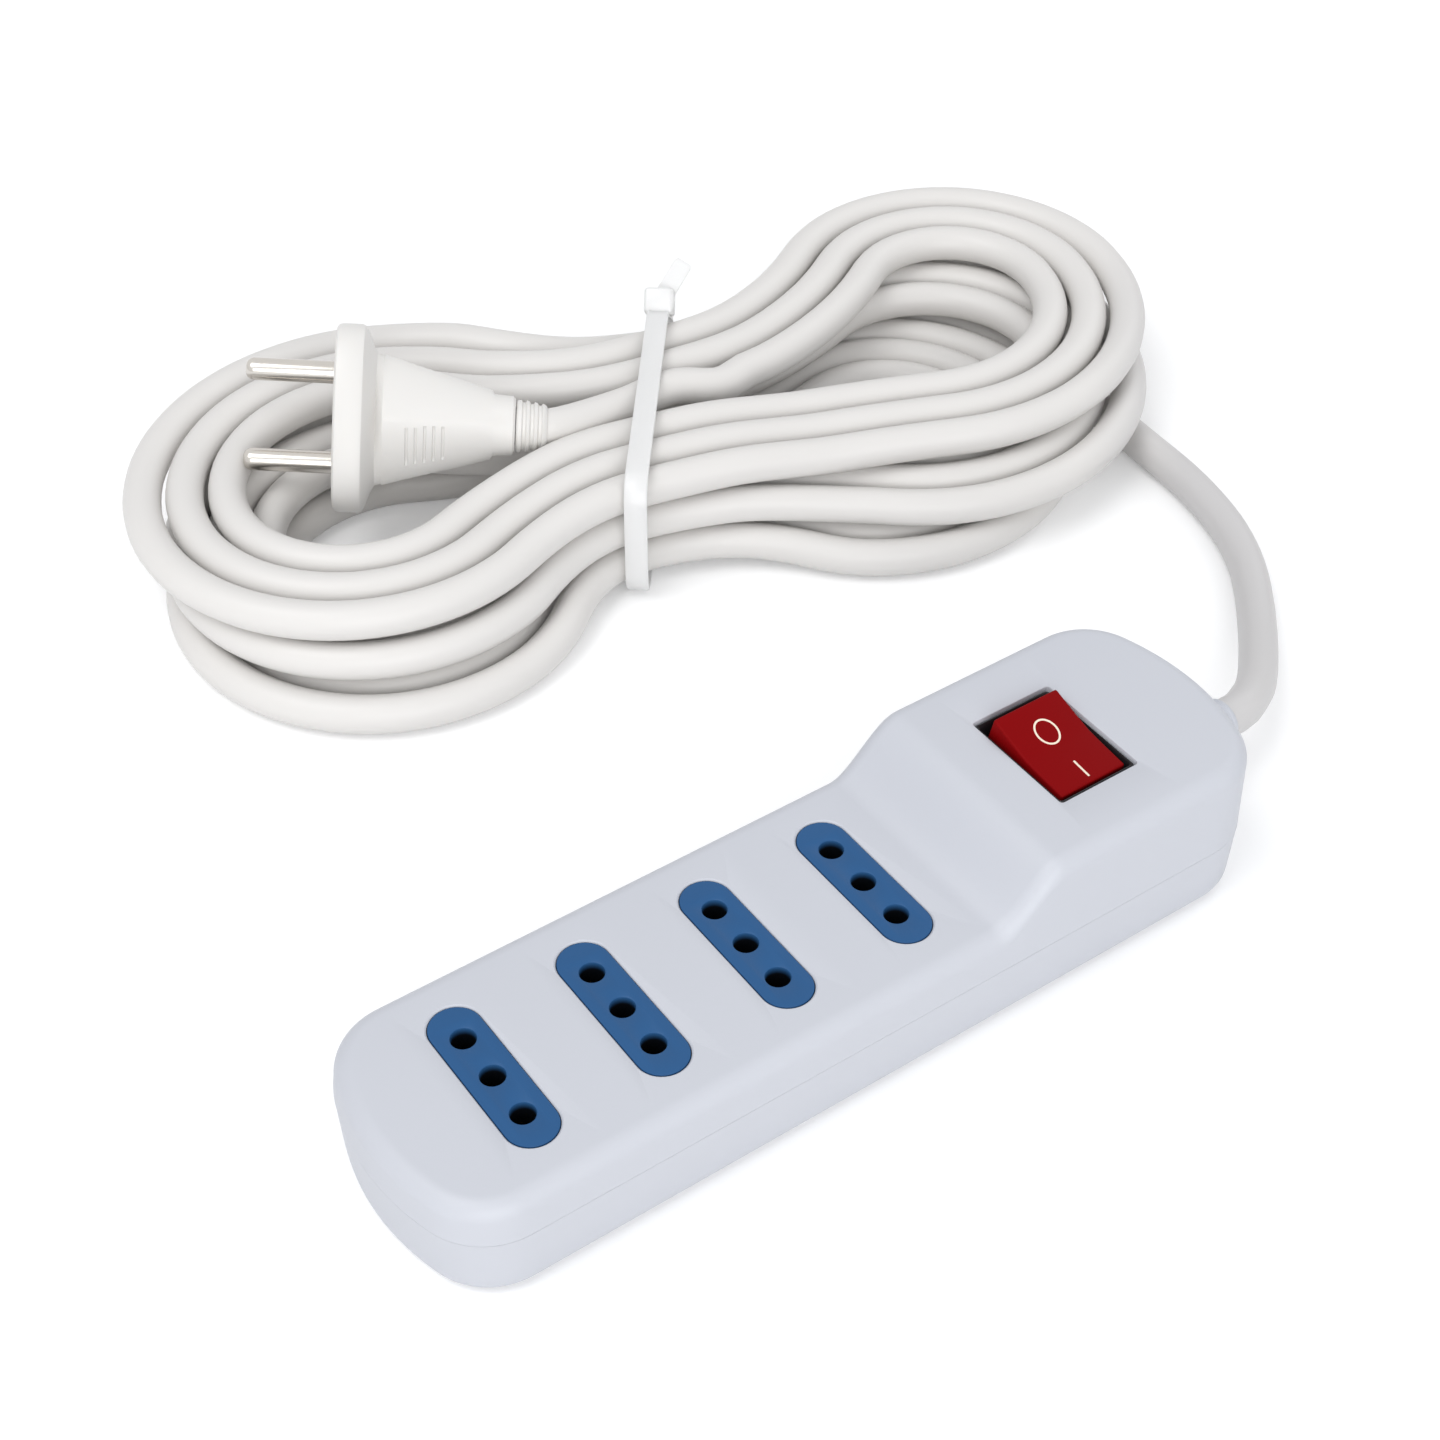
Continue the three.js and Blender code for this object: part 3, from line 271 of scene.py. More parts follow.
def apply_modifiers(obj):
    """Keeps the mesh that the object's modifiers make of it."""
    bpy.context.view_layer.update()
    deps = bpy.context.evaluated_depsgraph_get()
    final = bpy.data.meshes.new_from_object(obj.evaluated_get(deps))
    old = obj.data
    obj.modifiers.clear()
    obj.data = final
    bpy.data.meshes.remove(old)
    return obj


def carve(obj, cutters, angle=35, operation="DIFFERENCE"):
    """Cuts the cutter objects from obj, or joins them to it, and removes them."""
    for cutter in cutters:
        mod = obj.modifiers.new("cut", "BOOLEAN")
        mod.operation = operation
        mod.object = cutter
        mod.solver = "EXACT"
    apply_modifiers(obj)
    for cutter in cutters:
        bpy.data.objects.remove(cutter)
    shade(obj, angle)
    return obj


def soften(obj, width, segments=3, angle=35):
    """Rounds every sharp edge."""
    mod = obj.modifiers.new("bevel", "BEVEL")
    mod.width = width
    mod.segments = segments
    mod.limit_method = "ANGLE"
    mod.angle_limit = math.radians(30)
    mod.use_clamp_overlap = True
    apply_modifiers(obj)
    shade(obj, angle)
    return obj


def wall_faces(rings, count):
    """Faces between neighbouring rings of `count` points each."""
    faces = []
    for r in range(rings - 1):
        for i in range(count):
            a, b = r * count + i, r * count + (i + 1) % count
            faces.append((a, b, b + count, a + count))
    return faces


def rings_object(name, rings, mat, angle=35):
    """Closed body through rings with the same number of points each."""
    count = len(rings[0])
    verts = [p for ring in rings for p in ring]
    faces = wall_faces(len(rings), count)
    faces.append(tuple(range(count - 1, -1, -1)))
    faces.append(tuple(range((len(rings) - 1) * count, len(rings) * count)))
    return mesh_object(name, verts, faces, mat, angle)


def loop_object(name, sections, mat):
    """Body that closes on itself, through sections with the same number of points each."""
    n, m = len(sections), len(sections[0])
    faces = []
    for i in range(n):
        for k in range(m):
            a, b = i * m + k, i * m + (k + 1) % m
            c, d = ((i + 1) % n) * m + (k + 1) % m, ((i + 1) % n) * m + k
            faces.append((a, b, c, d))
    return mesh_object(name, [p for section in sections for p in section], faces, mat)


def round_ring(x, y, radius, z, sides):
    around = np.linspace(0, 2 * math.pi, sides, endpoint=False)
    return [(x + radius * math.cos(a), y + radius * math.sin(a), z) for a in around]


def turned(name, profile, mat, sides=48, angle=35):
    """Body turned about local X from [x, radius] points; a radius of 0 at an end closes it."""
    rings = []
    for x, r in profile:
        rings.append([(x, r * math.cos(2 * math.pi * k / sides), r * math.sin(2 * math.pi * k / sides))
                      for k in range(sides)])
    return rings_object(name, rings, mat, angle=angle)


def place(obj, matrix):
    """Moves the mesh itself, so that the object's own box stays upright."""
    obj.data.transform(matrix)
    return obj


def settle(obj, body, *nodes):
    """Joins a finished piece to its CAD body, in place of its CAD nodes."""
    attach(obj, body)
    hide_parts(*nodes)
    return obj


# ------------------------------------------------------------------ housing
def top_height(x):
    return LOW_TOP + (HUMP_TOP - LOW_TOP) * smooth(RAMP[0], RAMP[1], x)


def level(z):
    """Height function of a flat ring."""
    return lambda x: z


def below_top(drop):
    """Height function of a ring that follows the top."""
    return lambda x: top_height(x) - drop


def outline(inset, per_corner=14):
    """Half of the plan outline (Y >= 0) from +X to -X; the ends bow out and run on into round corners."""
    radius = CORNER - inset
    end_reach = HALF_WIDTH - CORNER * (1 - math.sin(END_TILT))
    centre_x = HALF_LENGTH - end_reach * math.tan(END_TILT) / 2 - CORNER * math.cos(END_TILT)
    centre_y = HALF_WIDTH - CORNER
    corner_y = centre_y + radius * math.sin(END_TILT)
    bow = HALF_LENGTH - inset - centre_x - radius * math.cos(END_TILT)
    bow_steps = 8
    end = []
    for i in range(bow_steps):
        end.append((HALF_LENGTH - inset - bow * (i / bow_steps) ** 2, corner_y * i / bow_steps))
    for i in range(per_corner + 1):
        a = END_TILT + (math.pi / 2 - END_TILT) * i / per_corner
        end.append((centre_x + radius * math.cos(a), centre_y + radius * math.sin(a)))
    long_xs = np.concatenate([
        np.linspace(centre_x, RAMP[1], 6)[1:-1], np.linspace(RAMP[1], RAMP[0], 19),
        np.linspace(RAMP[0], -centre_x, 12)[1:-1]])
    return end + [(x, HALF_WIDTH - inset) for x in long_xs] + [(-x, y) for x, y in reversed(end)]


def cover_body(name, rings):
    """Closed body from [inset, height function] rings, lowest first.

    Both caps are strips across the width.
    """
    n = len(outline(0))
    count = 2 * n - 2
    verts = []
    for inset, height in rings:
        half = outline(inset)
        for i in range(count):
            x, y = half[i] if i < n else half[count - i]
            verts.append((x, y if i < n else -y, height(x)))
    faces = wall_faces(len(rings), count)
    last = (len(rings) - 1) * count
    for i in range(n - 1):
        quad = []
        for v in (i, i + 1, count - i - 1, (count - i) % count):
            if v not in quad:
                quad.append(v)
        faces.append(tuple(reversed(quad)))
        faces.append(tuple(last + v for v in quad))
    return mesh_object(name, verts, faces, HOUSING)


def round_over(radius, steps):
    """[inset, drop below the top] pairs of a quarter round, which starts in by the walls' draft."""
    out = []
    for i in range(steps + 1):
        a = math.pi / 2 * i / steps
        out.append((DRAFT + radius * (1 - math.cos(a)), radius * (1 - math.sin(a))))
    return out


def stadium_ring(x, half, z, steps=20):
    ring = []
    for turn, reach in enumerate((INSERT_REACH, -INSERT_REACH)):
        for i in range(steps + 1):
            a = math.pi * (turn + i / steps)
            ring.append((x + half * math.cos(a), reach + half * math.sin(a), z))
    return ring


def stadium_body(name, x, profile, mat):
    """Stadium body from [half width, height] pairs."""
    return rings_object(name, [stadium_ring(x, half, z) for half, z in profile], mat)


def round_rect_ring(x, half_x, half_y, radius, z, steps=6):
    """Rectangle with round corners about a point of the X axis."""
    ring = []
    for q, (sx, sy) in enumerate(((1, 1), (-1, 1), (-1, -1), (1, -1))):
        for i in range(steps + 1):
            a = math.pi / 2 * (q + i / steps)
            ring.append((x + sx * (half_x - radius) + radius * math.cos(a),
                         sy * (half_y - radius) + radius * math.sin(a), z))
    return ring


def cylinder_x(name, x0, x1, radius, z, sides=40):
    obj = turned(name, [(x0, radius), (x1, radius)], HOUSING, sides)
    obj.location = (0, 0, z)
    return obj


def cut_cord():
    """Cutter for the cord's hole in the end wall."""
    inside = HALF_LENGTH - 8 * MM
    return cylinder_x("cut_cord", inside, HALF_LENGTH + PAST, CORD_HOLE, PARTING)


def cut_socket(x):
    """Cutter for the opening round an insert, with a softened rim."""
    rim = 0.35 * MM
    half = INSERT_CAP + 0.15 * MM
    profile = [(half, LOW_TOP - WALL - PAST), (half, LOW_TOP - rim), (half + 0.15 * MM, LOW_TOP - 0.4 * rim),
               (half + rim, LOW_TOP), (half + rim, LOW_TOP + PAST)]
    return stadium_body("cut_socket", x, profile, HOUSING)


def cut_switch():
    """Cutter for the switch's opening, with a softened rim."""
    ox, oy = OPENING
    corner = 0.6 * MM
    rim = 0.45 * MM
    profile = [(0, PARTING), (0, HUMP_TOP - rim), (0.12 * MM, HUMP_TOP - 0.15 * MM),
               (rim, HUMP_TOP), (rim, HUMP_TOP + PAST)]
    rings = [round_rect_ring(SWITCH_X, ox + grow, oy + grow, corner + grow, z) for grow, z in profile]
    return rings_object("cut_switch", rings, HOUSING)


def build_top_cover():
    rings = [(0, level(PARTING)), (SEAM_INSET, level(PARTING + SEAM_STEP))]
    rings += [(inset, below_top(drop)) for inset, drop in round_over(TOP_ROUND, 9)]
    obj = cover_body("top_cover_body", rings)
    inner = cover_body("cut_inner", [
        (WALL, level(PARTING - PAST)), (WALL + DRAFT, below_top(5 * MM)), (WALL + 2 * MM, below_top(WALL))])
    cutters = [inner] + [cut_socket(x) for x in SOCKET_XS] + [cut_switch(), cut_cord()]
    return settle(carve(obj, cutters), "strip", "top_cover")


def cut_screw(index):
    """Cutter for the pocket below a housing screw, wider at its mouth."""
    low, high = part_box("housing_screw_%d" % (index + 1))
    pocket, mouth = 3.0 * MM, 3.3 * MM
    profile = ((mouth, -PAST), (mouth, 0), (pocket, 0.3 * MM), (pocket, WALL + PAST))
    rings = [round_ring((low.x + high.x) / 2, (low.y + high.y) / 2, r, z, 32) for r, z in profile]
    return rings_object("cut_screw", rings, HOUSING)


def build_bottom_cover():
    seam = PARTING - SEAM
    rings = [(inset, level(z)) for inset, z in reversed(round_over(BASE_ROUND, 7))]
    rings += [(SEAM_INSET, level(seam - SEAM_STEP)), (0, level(seam))]
    obj = cover_body("bottom_cover_body", rings)
    inner = cover_body("cut_inner", [(WALL + DRAFT, level(WALL)), (WALL, level(seam + PAST))])
    cutters = [inner, cut_cord()] + [cut_screw(i) for i in range(HOUSING_SCREWS)]
    return settle(carve(obj, cutters), "strip", "bottom_cover")


# ------------------------------------------------------------------ sockets
def cut_hole(x, y, low, top):
    """Cutter for a pin hole, with a softened rim."""
    rim = 0.4 * MM
    profile = ((0, low - PAST), (0, top - 0.5 * MM), (0.12 * MM, top - 0.16 * MM), (rim, top), (rim, top + PAST))
    return rings_object("cut_hole", [round_ring(x, y, HOLE_RADIUS + grow, z, 40) for grow, z in profile], BLUE)


def build_insert(index):
    x = SOCKET_XS[index]
    top = LOW_TOP - 0.1 * MM
    low = INSERT_BOXES[index][0].z
    edge = 0.3 * MM
    profile = [(INSERT_CAP, low), (INSERT_CAP, top - edge), (INSERT_CAP - 0.1 * edge, top - 0.4 * edge),
               (INSERT_CAP - 0.4 * edge, top - 0.1 * edge), (INSERT_CAP - edge, top)]
    obj = stadium_body("socket_insert_body_%d" % (index + 1), x, profile, BLUE)
    cutters = [cut_hole(x, y, low, top) for y in (-PIN_PITCH, 0, PIN_PITCH)]
    return settle(carve(obj, cutters), "strip", "socket_insert_%d" % (index + 1))


# ------------------------------------------------------------------ switch
def tilt_matrix():
    return Matrix.Translation(PIVOT) @ Matrix.Rotation(TILT, 4, "X")


def rocker_height(y):
    """Height of the rocker's face above the pivot: two gently hollow halves."""
    return ROCKER_DIP + ROCKER_RISE * (abs(y) / ROCKER_Y) ** 1.25


def build_rocker():
    side = 0.5 * MM  # height of the lower ends of its end faces
    foot = ROCKER_Y - 3 * MM
    taper = 0.05  # how much narrower it gets per height
    top = [(y, rocker_height(y)) for y in np.linspace(ROCKER_Y, -ROCKER_Y, 25)]
    profile = [(-ROCKER_Y, side), (-foot, ROCKER_LOW), (foot, ROCKER_LOW), (ROCKER_Y, side)] + top
    rings = []
    for sign in (-1, 1):
        rings.append([(sign * (ROCKER_X - taper * (z - ROCKER_LOW)), y, z) for y, z in profile])
    obj = rings_object("rocker_body", rings, RED, angle=30)
    soften(obj, 0.45 * MM, 4)
    obj.matrix_world = tilt_matrix()
    return settle(obj, "rocker", "rocker")


def inlay_section(half_line, point):
    """Four points across a mark's line, sunk at both edges; point(across, lift) gives a place on the face."""
    sunk, proud = -0.1 * MM, 0.05 * MM
    crown = 0.7 * half_line
    return [point(-half_line, sunk), point(-crown, proud), point(crown, proud), point(half_line, sunk)]


def build_marks():
    """The O at the raised end and the I at the pressed end, inlaid in the face."""
    half_line = 0.25 * MM
    ring_x, ring_y, ring_centre = 2.17 * MM, 2.7 * MM, 3.3 * MM
    bar_from, bar_to = -8.7 * MM, -4.4 * MM

    def ring_point(a):
        def at(across, lift):
            y = ring_centre + (ring_y + across) * math.sin(a)
            return ((ring_x + across) * math.cos(a), y, rocker_height(y) + lift)
        return at

    def bar_point(y):
        return lambda across, lift: (across, y, rocker_height(y) + lift)

    around = np.linspace(0, 2 * math.pi, 48, endpoint=False)
    ring = loop_object("mark_off", [inlay_section(half_line, ring_point(a)) for a in around], MARK)
    along = np.linspace(bar_from, bar_to, 9)
    bar = rings_object("mark_on", [inlay_section(half_line, bar_point(y)) for y in along], MARK)
    for obj in (ring, bar):
        obj.matrix_world = tilt_matrix()
        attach(obj, "rocker")


def build_switch_frame():
    low, high = FRAME_LOW, FRAME_HIGH
    gap = 0.25 * MM  # to the sides of the opening
    ox, oy = OPENING[0] - gap, OPENING[1] - gap
    wall_x, wall_y, floor = 0.5 * MM, 0.7 * MM, 1.5 * MM
    top = HUMP_TOP - 0.6 * MM
    edge = 0.3 * MM
    outer = rings_object("switch_frame_body", [
        round_rect_ring(SWITCH_X, ox - cut, oy - cut, 0.8 * MM, z)
        for cut, z in ((0, low.z), (0, top - edge), (edge, top))], BLACK)
    flange = rings_object("join_flange", [
        round_rect_ring(SWITCH_X, high.x - SWITCH_X, high.y, 1 * MM, z)
        for z in (26.9 * MM, HUMP_TOP - WALL - 0.3 * MM)], BLACK)
    carve(outer, [flange], operation="UNION")
    well = rings_object("cut_well", [
        round_rect_ring(SWITCH_X, ox - wall_x + grow, oy - wall_y + grow, 0.6 * MM, z)
        for grow, z in ((0, low.z + floor), (0, top - 0.5 * MM), (edge, top), (edge, top + PAST))], BLACK)
    pivot_reach = 9.4 * MM
    pivot = cylinder_x("cut_pivot", SWITCH_X - pivot_reach, SWITCH_X + pivot_reach, 1.2 * MM, PIVOT.z, 24)
    carve(outer, [well, pivot])
    return settle(outer, "strip", "switch_frame")


# ------------------------------------------------------------------ cord
PITCH = 8.85 * MM  # from loop to loop in a layer
LAYER = 8.7 * MM  # from layer to layer
LAYER_TURNS = 3
CLIMB = 0.06  # turns on either side of a change of layer
WAIST = Vector((52 * MM, 139 * MM))
WAIST_HALF = 30 * MM  # from the waist's middle to its outermost strands
WAIST_SKEW = 4 * MM
WAIST_TURN = math.radians(-13)
WAIST_LIFT = 2 * MM
START_TURN, END_TURN = 0.24, 8.97
# each layer's loops, in mm: distance of the end circle from the waist, shift across it, its radius and
# the side circle's radius
LEFT_LOBES = [(58, 12, 45, 50), (60, 6, 46, 52), (60, 0, 47, 52)]
RIGHT_LOBES = [(62, -2, 46, 50), (78, 6, 46, 54), (88, 20, 46, 58)]


def lobe(shape, part, inset):
    """A loop at the left of the waist: a wide circle and a smaller one, led into the waist by arcs."""
    away, shift, end_radius, side_radius = (v * MM for v in shape)
    half, skew = WAIST_HALF, WAIST_SKEW
    end_x = -away
    side_x = -away + side_radius - end_radius

    def lead(along, across, radius):
        return (along ** 2 + across ** 2 - radius ** 2) / (2 * (radius - across))

    near = lead(skew - side_x, shift + half, side_radius)
    far = lead(-skew - end_x, half - shift, end_radius)
    near_turn = math.atan2(skew - side_x, shift + half + near)
    far_turn = math.atan2(-skew - end_x, half - shift + far)
    quarter = math.pi / 2
    lengths = (near * near_turn, side_radius * (quarter + near_turn), end_radius * (quarter + far_turn),
               far * far_turn)
    d = part * sum(lengths)
    if d < lengths[0]:
        a = d / near
        return skew - (near + inset) * math.sin(a), -half - near + (near + inset) * math.cos(a)
    d -= lengths[0]
    if d < lengths[1]:
        a = near_turn - quarter - d / side_radius
        return side_x + (side_radius - inset) * math.cos(a), shift + (side_radius - inset) * math.sin(a)
    d -= lengths[1]
    if d < lengths[2]:
        a = math.pi - d / end_radius
        return end_x + (end_radius - inset) * math.cos(a), shift + (end_radius - inset) * math.sin(a)
    a = far_turn - (d - lengths[2]) / far
    return -skew - (far + inset) * math.sin(a), half + far - (far + inset) * math.cos(a)


def hank_point(turns):
    """Centreline of the hank: loops left and right of the waist by turns, in layers that go in and out."""
    half_turn = math.floor(2 * turns)
    part = 2 * turns - half_turn
    there = 2 * LAYER_TURNS
    phase = turns % there
    inset = PITCH * (turns if turns < 0 else min(phase, there - phase))
    layer = min(max(math.floor(turns / LAYER_TURNS), 0), len(LEFT_LOBES) - 1)
    if half_turn % 2 == 0:
        x, y = lobe(LEFT_LOBES[layer], part, inset)
        y = -y
    else:
        x, y = lobe(RIGHT_LOBES[layer], part, inset)
        x = -x
    climbs = (LAYER_TURNS, 2 * LAYER_TURNS)
    z = CORD / 2 + sum(LAYER * smooth(c - CLIMB, c + CLIMB, turns) for c in climbs)
    z += WAIST_LIFT * (1 - smooth(12 * MM, 40 * MM, abs(x)))
    c, s = math.cos(WAIST_TURN), math.sin(WAIST_TURN)
    return Vector((WAIST.x + x * c - y * s, WAIST.y + x * s + y * c, z))


# the cord's run from the strip to the hank and from the hank to the plug, in mm
LEAD = [(99.8, 0, 14), (103.8, 0.1, 14), (109, 2.4, 12.8), (114.5, 5.8, 11.2), (122, 12.5, 9),
        (129.5, 20, 6.8), (138, 29.5, 5), (145.5, 39.5, 4.2), (151.5, 52, 4), (155.3, 68, 4), (156.5, 84, 4)]
TAIL = [(66, 141, 24.1), (52.5, 140.9, 24.3)]
PLUG_AT = Vector((-4, 165, 30.5)) * MM  # middle of the plug's face
PLUG_AXIS = Vector((-0.838, 0.53, 0.09)).normalized()  # the way that its pins point
PLUG_ROLL = Vector((0.4, 0.485, 0.78))
PLUG_PINS = (PLUG_ROLL - PLUG_AXIS * PLUG_ROLL.dot(PLUG_AXIS)).normalized()  # from pin to pin
PLUG_FRONT = 9 * MM  # lengths along the plug: flange, body and relief
PLUG_BODY = 29 * MM
PLUG_RELIEF = 6.5 * MM
PLUG_REAR = -PLUG_FRONT - PLUG_BODY
PIN_LENGTH = 19 * MM


def plug_matrix():
    """The plug's own frame: X along the pins, Y from pin to pin, the origin at its face."""
    turn = Matrix((PLUG_AXIS, PLUG_PINS, PLUG_AXIS.cross(PLUG_PINS))).transposed().to_4x4()
    return Matrix.Translation(PLUG_AT) @ turn


def catmull(points, spacing):
    """Evenly spaced points of a centripetal Catmull-Rom curve."""
    pts = [2 * points[0] - points[1]] + list(points) + [2 * points[-1] - points[-2]]
    dense = []
    for p0, p1, p2, p3 in zip(pts, pts[1:], pts[2:], pts[3:]):
        t1 = (p1 - p0).length ** 0.5
        t2 = t1 + (p2 - p1).length ** 0.5
        t3 = t2 + (p3 - p2).length ** 0.5
        for i in range(20):
            t = t1 + (t2 - t1) * i / 20
            a1 = p0 * ((t1 - t) / t1) + p1 * (t / t1)
            a2 = p1 * ((t2 - t) / (t2 - t1)) + p2 * ((t - t1) / (t2 - t1))
            a3 = p2 * ((t3 - t) / (t3 - t2)) + p3 * ((t - t2) / (t3 - t2))
            b1 = a1 * ((t2 - t) / t2) + a2 * (t / t2)
            b2 = a2 * ((t3 - t) / (t3 - t1)) + a3 * ((t - t1) / (t3 - t1))
            dense.append(b1 * ((t2 - t) / (t2 - t1)) + b2 * ((t - t1) / (t2 - t1)))
    dense.append(points[-1])
    return resample(dense, spacing)


def resample(points, spacing):
    p = np.array([tuple(v) for v in points])
    along = np.concatenate([[0], np.cumsum(np.linalg.norm(np.diff(p, axis=0), axis=1))])
    count = max(int(round(along[-1] / spacing)), 2)
    at = np.linspace(0, along[-1], count + 1)
    return [Vector([np.interp(s, along, p[:, k]) for k in range(3)]) for s in at]


def cord_path():
    """One unbroken centreline: lead, hank and tail, with the last stretch inside the plug's relief."""
    spacing = 3 * MM
    steps = 1600
    span = END_TURN + START_TURN
    hank = [hank_point(-START_TURN + span * i / steps) for i in range(steps + 1)]
    way = plug_matrix()
    last = [way @ Vector((-(PLUG_FRONT + PLUG_BODY + 0.3 * MM) - d, 0, 0))
            for d in (PLUG_RELIEF, PLUG_RELIEF / 2, -3 * MM)]
    lead = [Vector(p) * MM for p in LEAD]
    back = (hank[0] - hank[4]).normalized() * CORD
    on = (hank[-1] - hank[-5]).normalized() * CORD
    first = catmull(lead + [hank[0] + back, hank[0]], spacing)
    tail = catmull([hank[-1], hank[-1] + on] + [Vector(p) * MM for p in TAIL] + last, spacing)
    return first[:-1] + resample(hank, spacing) + tail[1:]


def build_cord(path):
    curve = bpy.data.curves.new("mains_cord", "CURVE")
    curve.dimensions = "3D"
    curve.bevel_depth = CORD / 2
    curve.bevel_resolution = 7
    curve.use_fill_caps = True
    spline = curve.splines.new("POLY")
    spline.points.add(len(path) - 1)
    for point, p in zip(spline.points, path):
        point.co = (*p, 1)
    spline.use_smooth = True
    obj = bpy.data.objects.new("mains_cord", curve)
    scene.collection.objects.link(obj)
    curve.materials.append(SHEATH)
    settle(obj, "strip", "cord_lead", "cord_hank", "cord_tail")


# ------------------------------------------------------------------ plug
def plug_ring(x, half_y, half_z, power, grip=0.0, sides=96):
    """Ring in the plug's own YZ plane: power under 1 makes it square, 1 an ellipse, 2 a diamond.

    `grip` draws it in on the lower half of both broad sides.
    """
    ring = []
    for i in range(sides):
        a = 2 * math.pi * i / sides
        c, s = math.cos(a), math.sin(a)
        y = half_y * math.copysign(abs(c) ** power, c)
        z = half_z * math.copysign(abs(s) ** power, s)
        if -0.75 * half_y < y < -0.15 * half_y:
            z -= math.copysign(grip, z)
        ring.append((x * MM, y * MM, z * MM))
    return ring


def build_plug_shell():
    front = PLUG_FRONT / MM
    rear = PLUG_REAR / MM
    neck = rear + 5
    body_front = -front - 1.2
    sections = [
        (rear, 5.8, 5.6, 0.9), (rear + 0.5, 6.3, 6.1, 0.9), (rear + 4.5, 6.6, 6.2, 1.0), (neck, 7.4, 6.4, 1.25)]
    widening = 12
    for k in range(1, widening):
        t = k / widening
        sections.append((neck + (body_front - neck) * t, 7.4 + 6.4 * t, 6.4 + 2.2 * t, 1.25 + 0.25 * t))
    sections += [(body_front, 13.8, 8.6, 1.5), (body_front + 0.3, 13.6, 8.2, 1.45)]
    # waisted scoop between the body and the flange, then the flange's rim
    sections += [(-front + 0.4, 14.0, 5.6, 1.1), (-front + 1.2, 15.5, 6.6, 0.95), (-front + 2.4, 18.6, 10.4, 0.8),
                 (-front + 3, 19.6, 11.2, 0.75), (-front + 3.6, 19.9, 11.45, 0.75), (-1.2, 19.9, 11.45, 0.75),
                 (-0.5, 19.7, 11.25, 0.75), (-0.1, 19.2, 10.7, 0.75), (0, 18.6, 10.1, 0.75)]
    groove = ((0.25, 0), (0.4, 0.35), (0.8, 0.35), (0.95, 0))  # along the plug, depth
    rings = []
    for x, half_y, half_z, power in sections:
        rings.append(plug_ring(x, half_y, half_z, power))
        if -front - 15 < x < body_front - 4:
            for dx, grip in groove:
                rings.append(plug_ring(x + dx, half_y + 0.22 * dx, half_z + 0.08 * dx, power, grip))
    shell = place(rings_object("plug_shell", rings, PLUG, angle=28), plug_matrix())
    return settle(shell, "strip", "plug_body")


def build_plug_relief():
    """Ribbed sleeve behind the body."""
    start = PLUG_REAR - 0.2 * MM
    profile = [(start, 0), (start, 5.3 * MM), (PLUG_REAR - 0.6 * MM, 5.6 * MM)]
    for k in range(3):
        x = PLUG_REAR - 1.3 * MM - k * 1.7 * MM
        rib = (5.6 - 0.25 * k) * MM
        groove = rib - 0.5 * MM
        profile += [(x, rib), (x - 0.3 * MM, groove), (x - 0.8 * MM, groove), (x - 1.1 * MM, rib - 0.06 * MM)]
    end = PLUG_REAR - PLUG_RELIEF
    profile += [(end, 4.7 * MM), (end - 0.3 * MM, 4.3 * MM), (end - 0.3 * MM, 0)]
    relief = place(turned("plug_relief_sleeve", profile, PLUG), plug_matrix())
    return settle(relief, "strip", "plug_relief")


def build_plug_pin(index):
    y = (PIN_PITCH, -PIN_PITCH)[index]
    sunk = 5 * MM
    tip_round = 1.8 * MM
    profile = [(-sunk, 0), (-sunk, PIN_RADIUS)]
    for a in np.linspace(0, math.pi / 2, 9):
        profile.append((PIN_LENGTH - tip_round + tip_round * math.sin(a),
                        PIN_RADIUS - tip_round + tip_round * math.cos(a)))
    profile.append((PIN_LENGTH, 0))
    pin = turned("plug_pin_steel_%d" % (index + 1), profile, STEEL, 40)
    place(pin, plug_matrix() @ Matrix.Translation((0, y, 0)))
    return settle(pin, "strip", "plug_pin_%d" % (index + 1))


def build_plug():
    return [build_plug_shell(), build_plug_relief()] + [build_plug_pin(i) for i in range(2)]


# ------------------------------------------------------------------ cable tie
TIE_AT = Vector((57.5, 137.7, 0)) * MM
TIE_TURN = math.radians(-38)
# centres of the strands that the band bends round, [across, up] in mm
TIE_CENTRES = [(-30.9, 6.75), (37.8, 6.75), (36.4, 15.8), (26.4, 23.3), (-30, 23.4)]
TIE_HALF = 2.4 * MM  # half width of the band
TIE_HEAD = Vector((0, 34.2, 28.5)) * MM
TIE_HEAD_TURN = math.radians(-37.7)
TIE_LEAN = math.radians(30)


def belt(radius):
    """The band's outline at a distance from those centres: [across, up] points."""
    out = []
    step = 0.15  # radians, at most
    n = len(TIE_CENTRES)
    for i in range(n):
        before, here, after = TIE_CENTRES[i - 1], TIE_CENTRES[i], TIE_CENTRES[(i + 1) % n]
        a0 = math.atan2(here[1] - before[1], here[0] - before[0]) - math.pi / 2
        a1 = math.atan2(after[1] - here[1], after[0] - here[0]) - math.pi / 2
        while a1 < a0:
            a1 += 2 * math.pi
        steps = max(3, math.ceil((a1 - a0) / step))
        for k in range(steps + 1):
            a = a0 + (a1 - a0) * k / steps
            out.append((here[0] * MM + radius * math.cos(a), here[1] * MM + radius * math.sin(a)))
    return out


def tie_matrix():
    return Matrix.Translation(TIE_AT) @ Matrix.Rotation(TIE_TURN, 4, "Z")


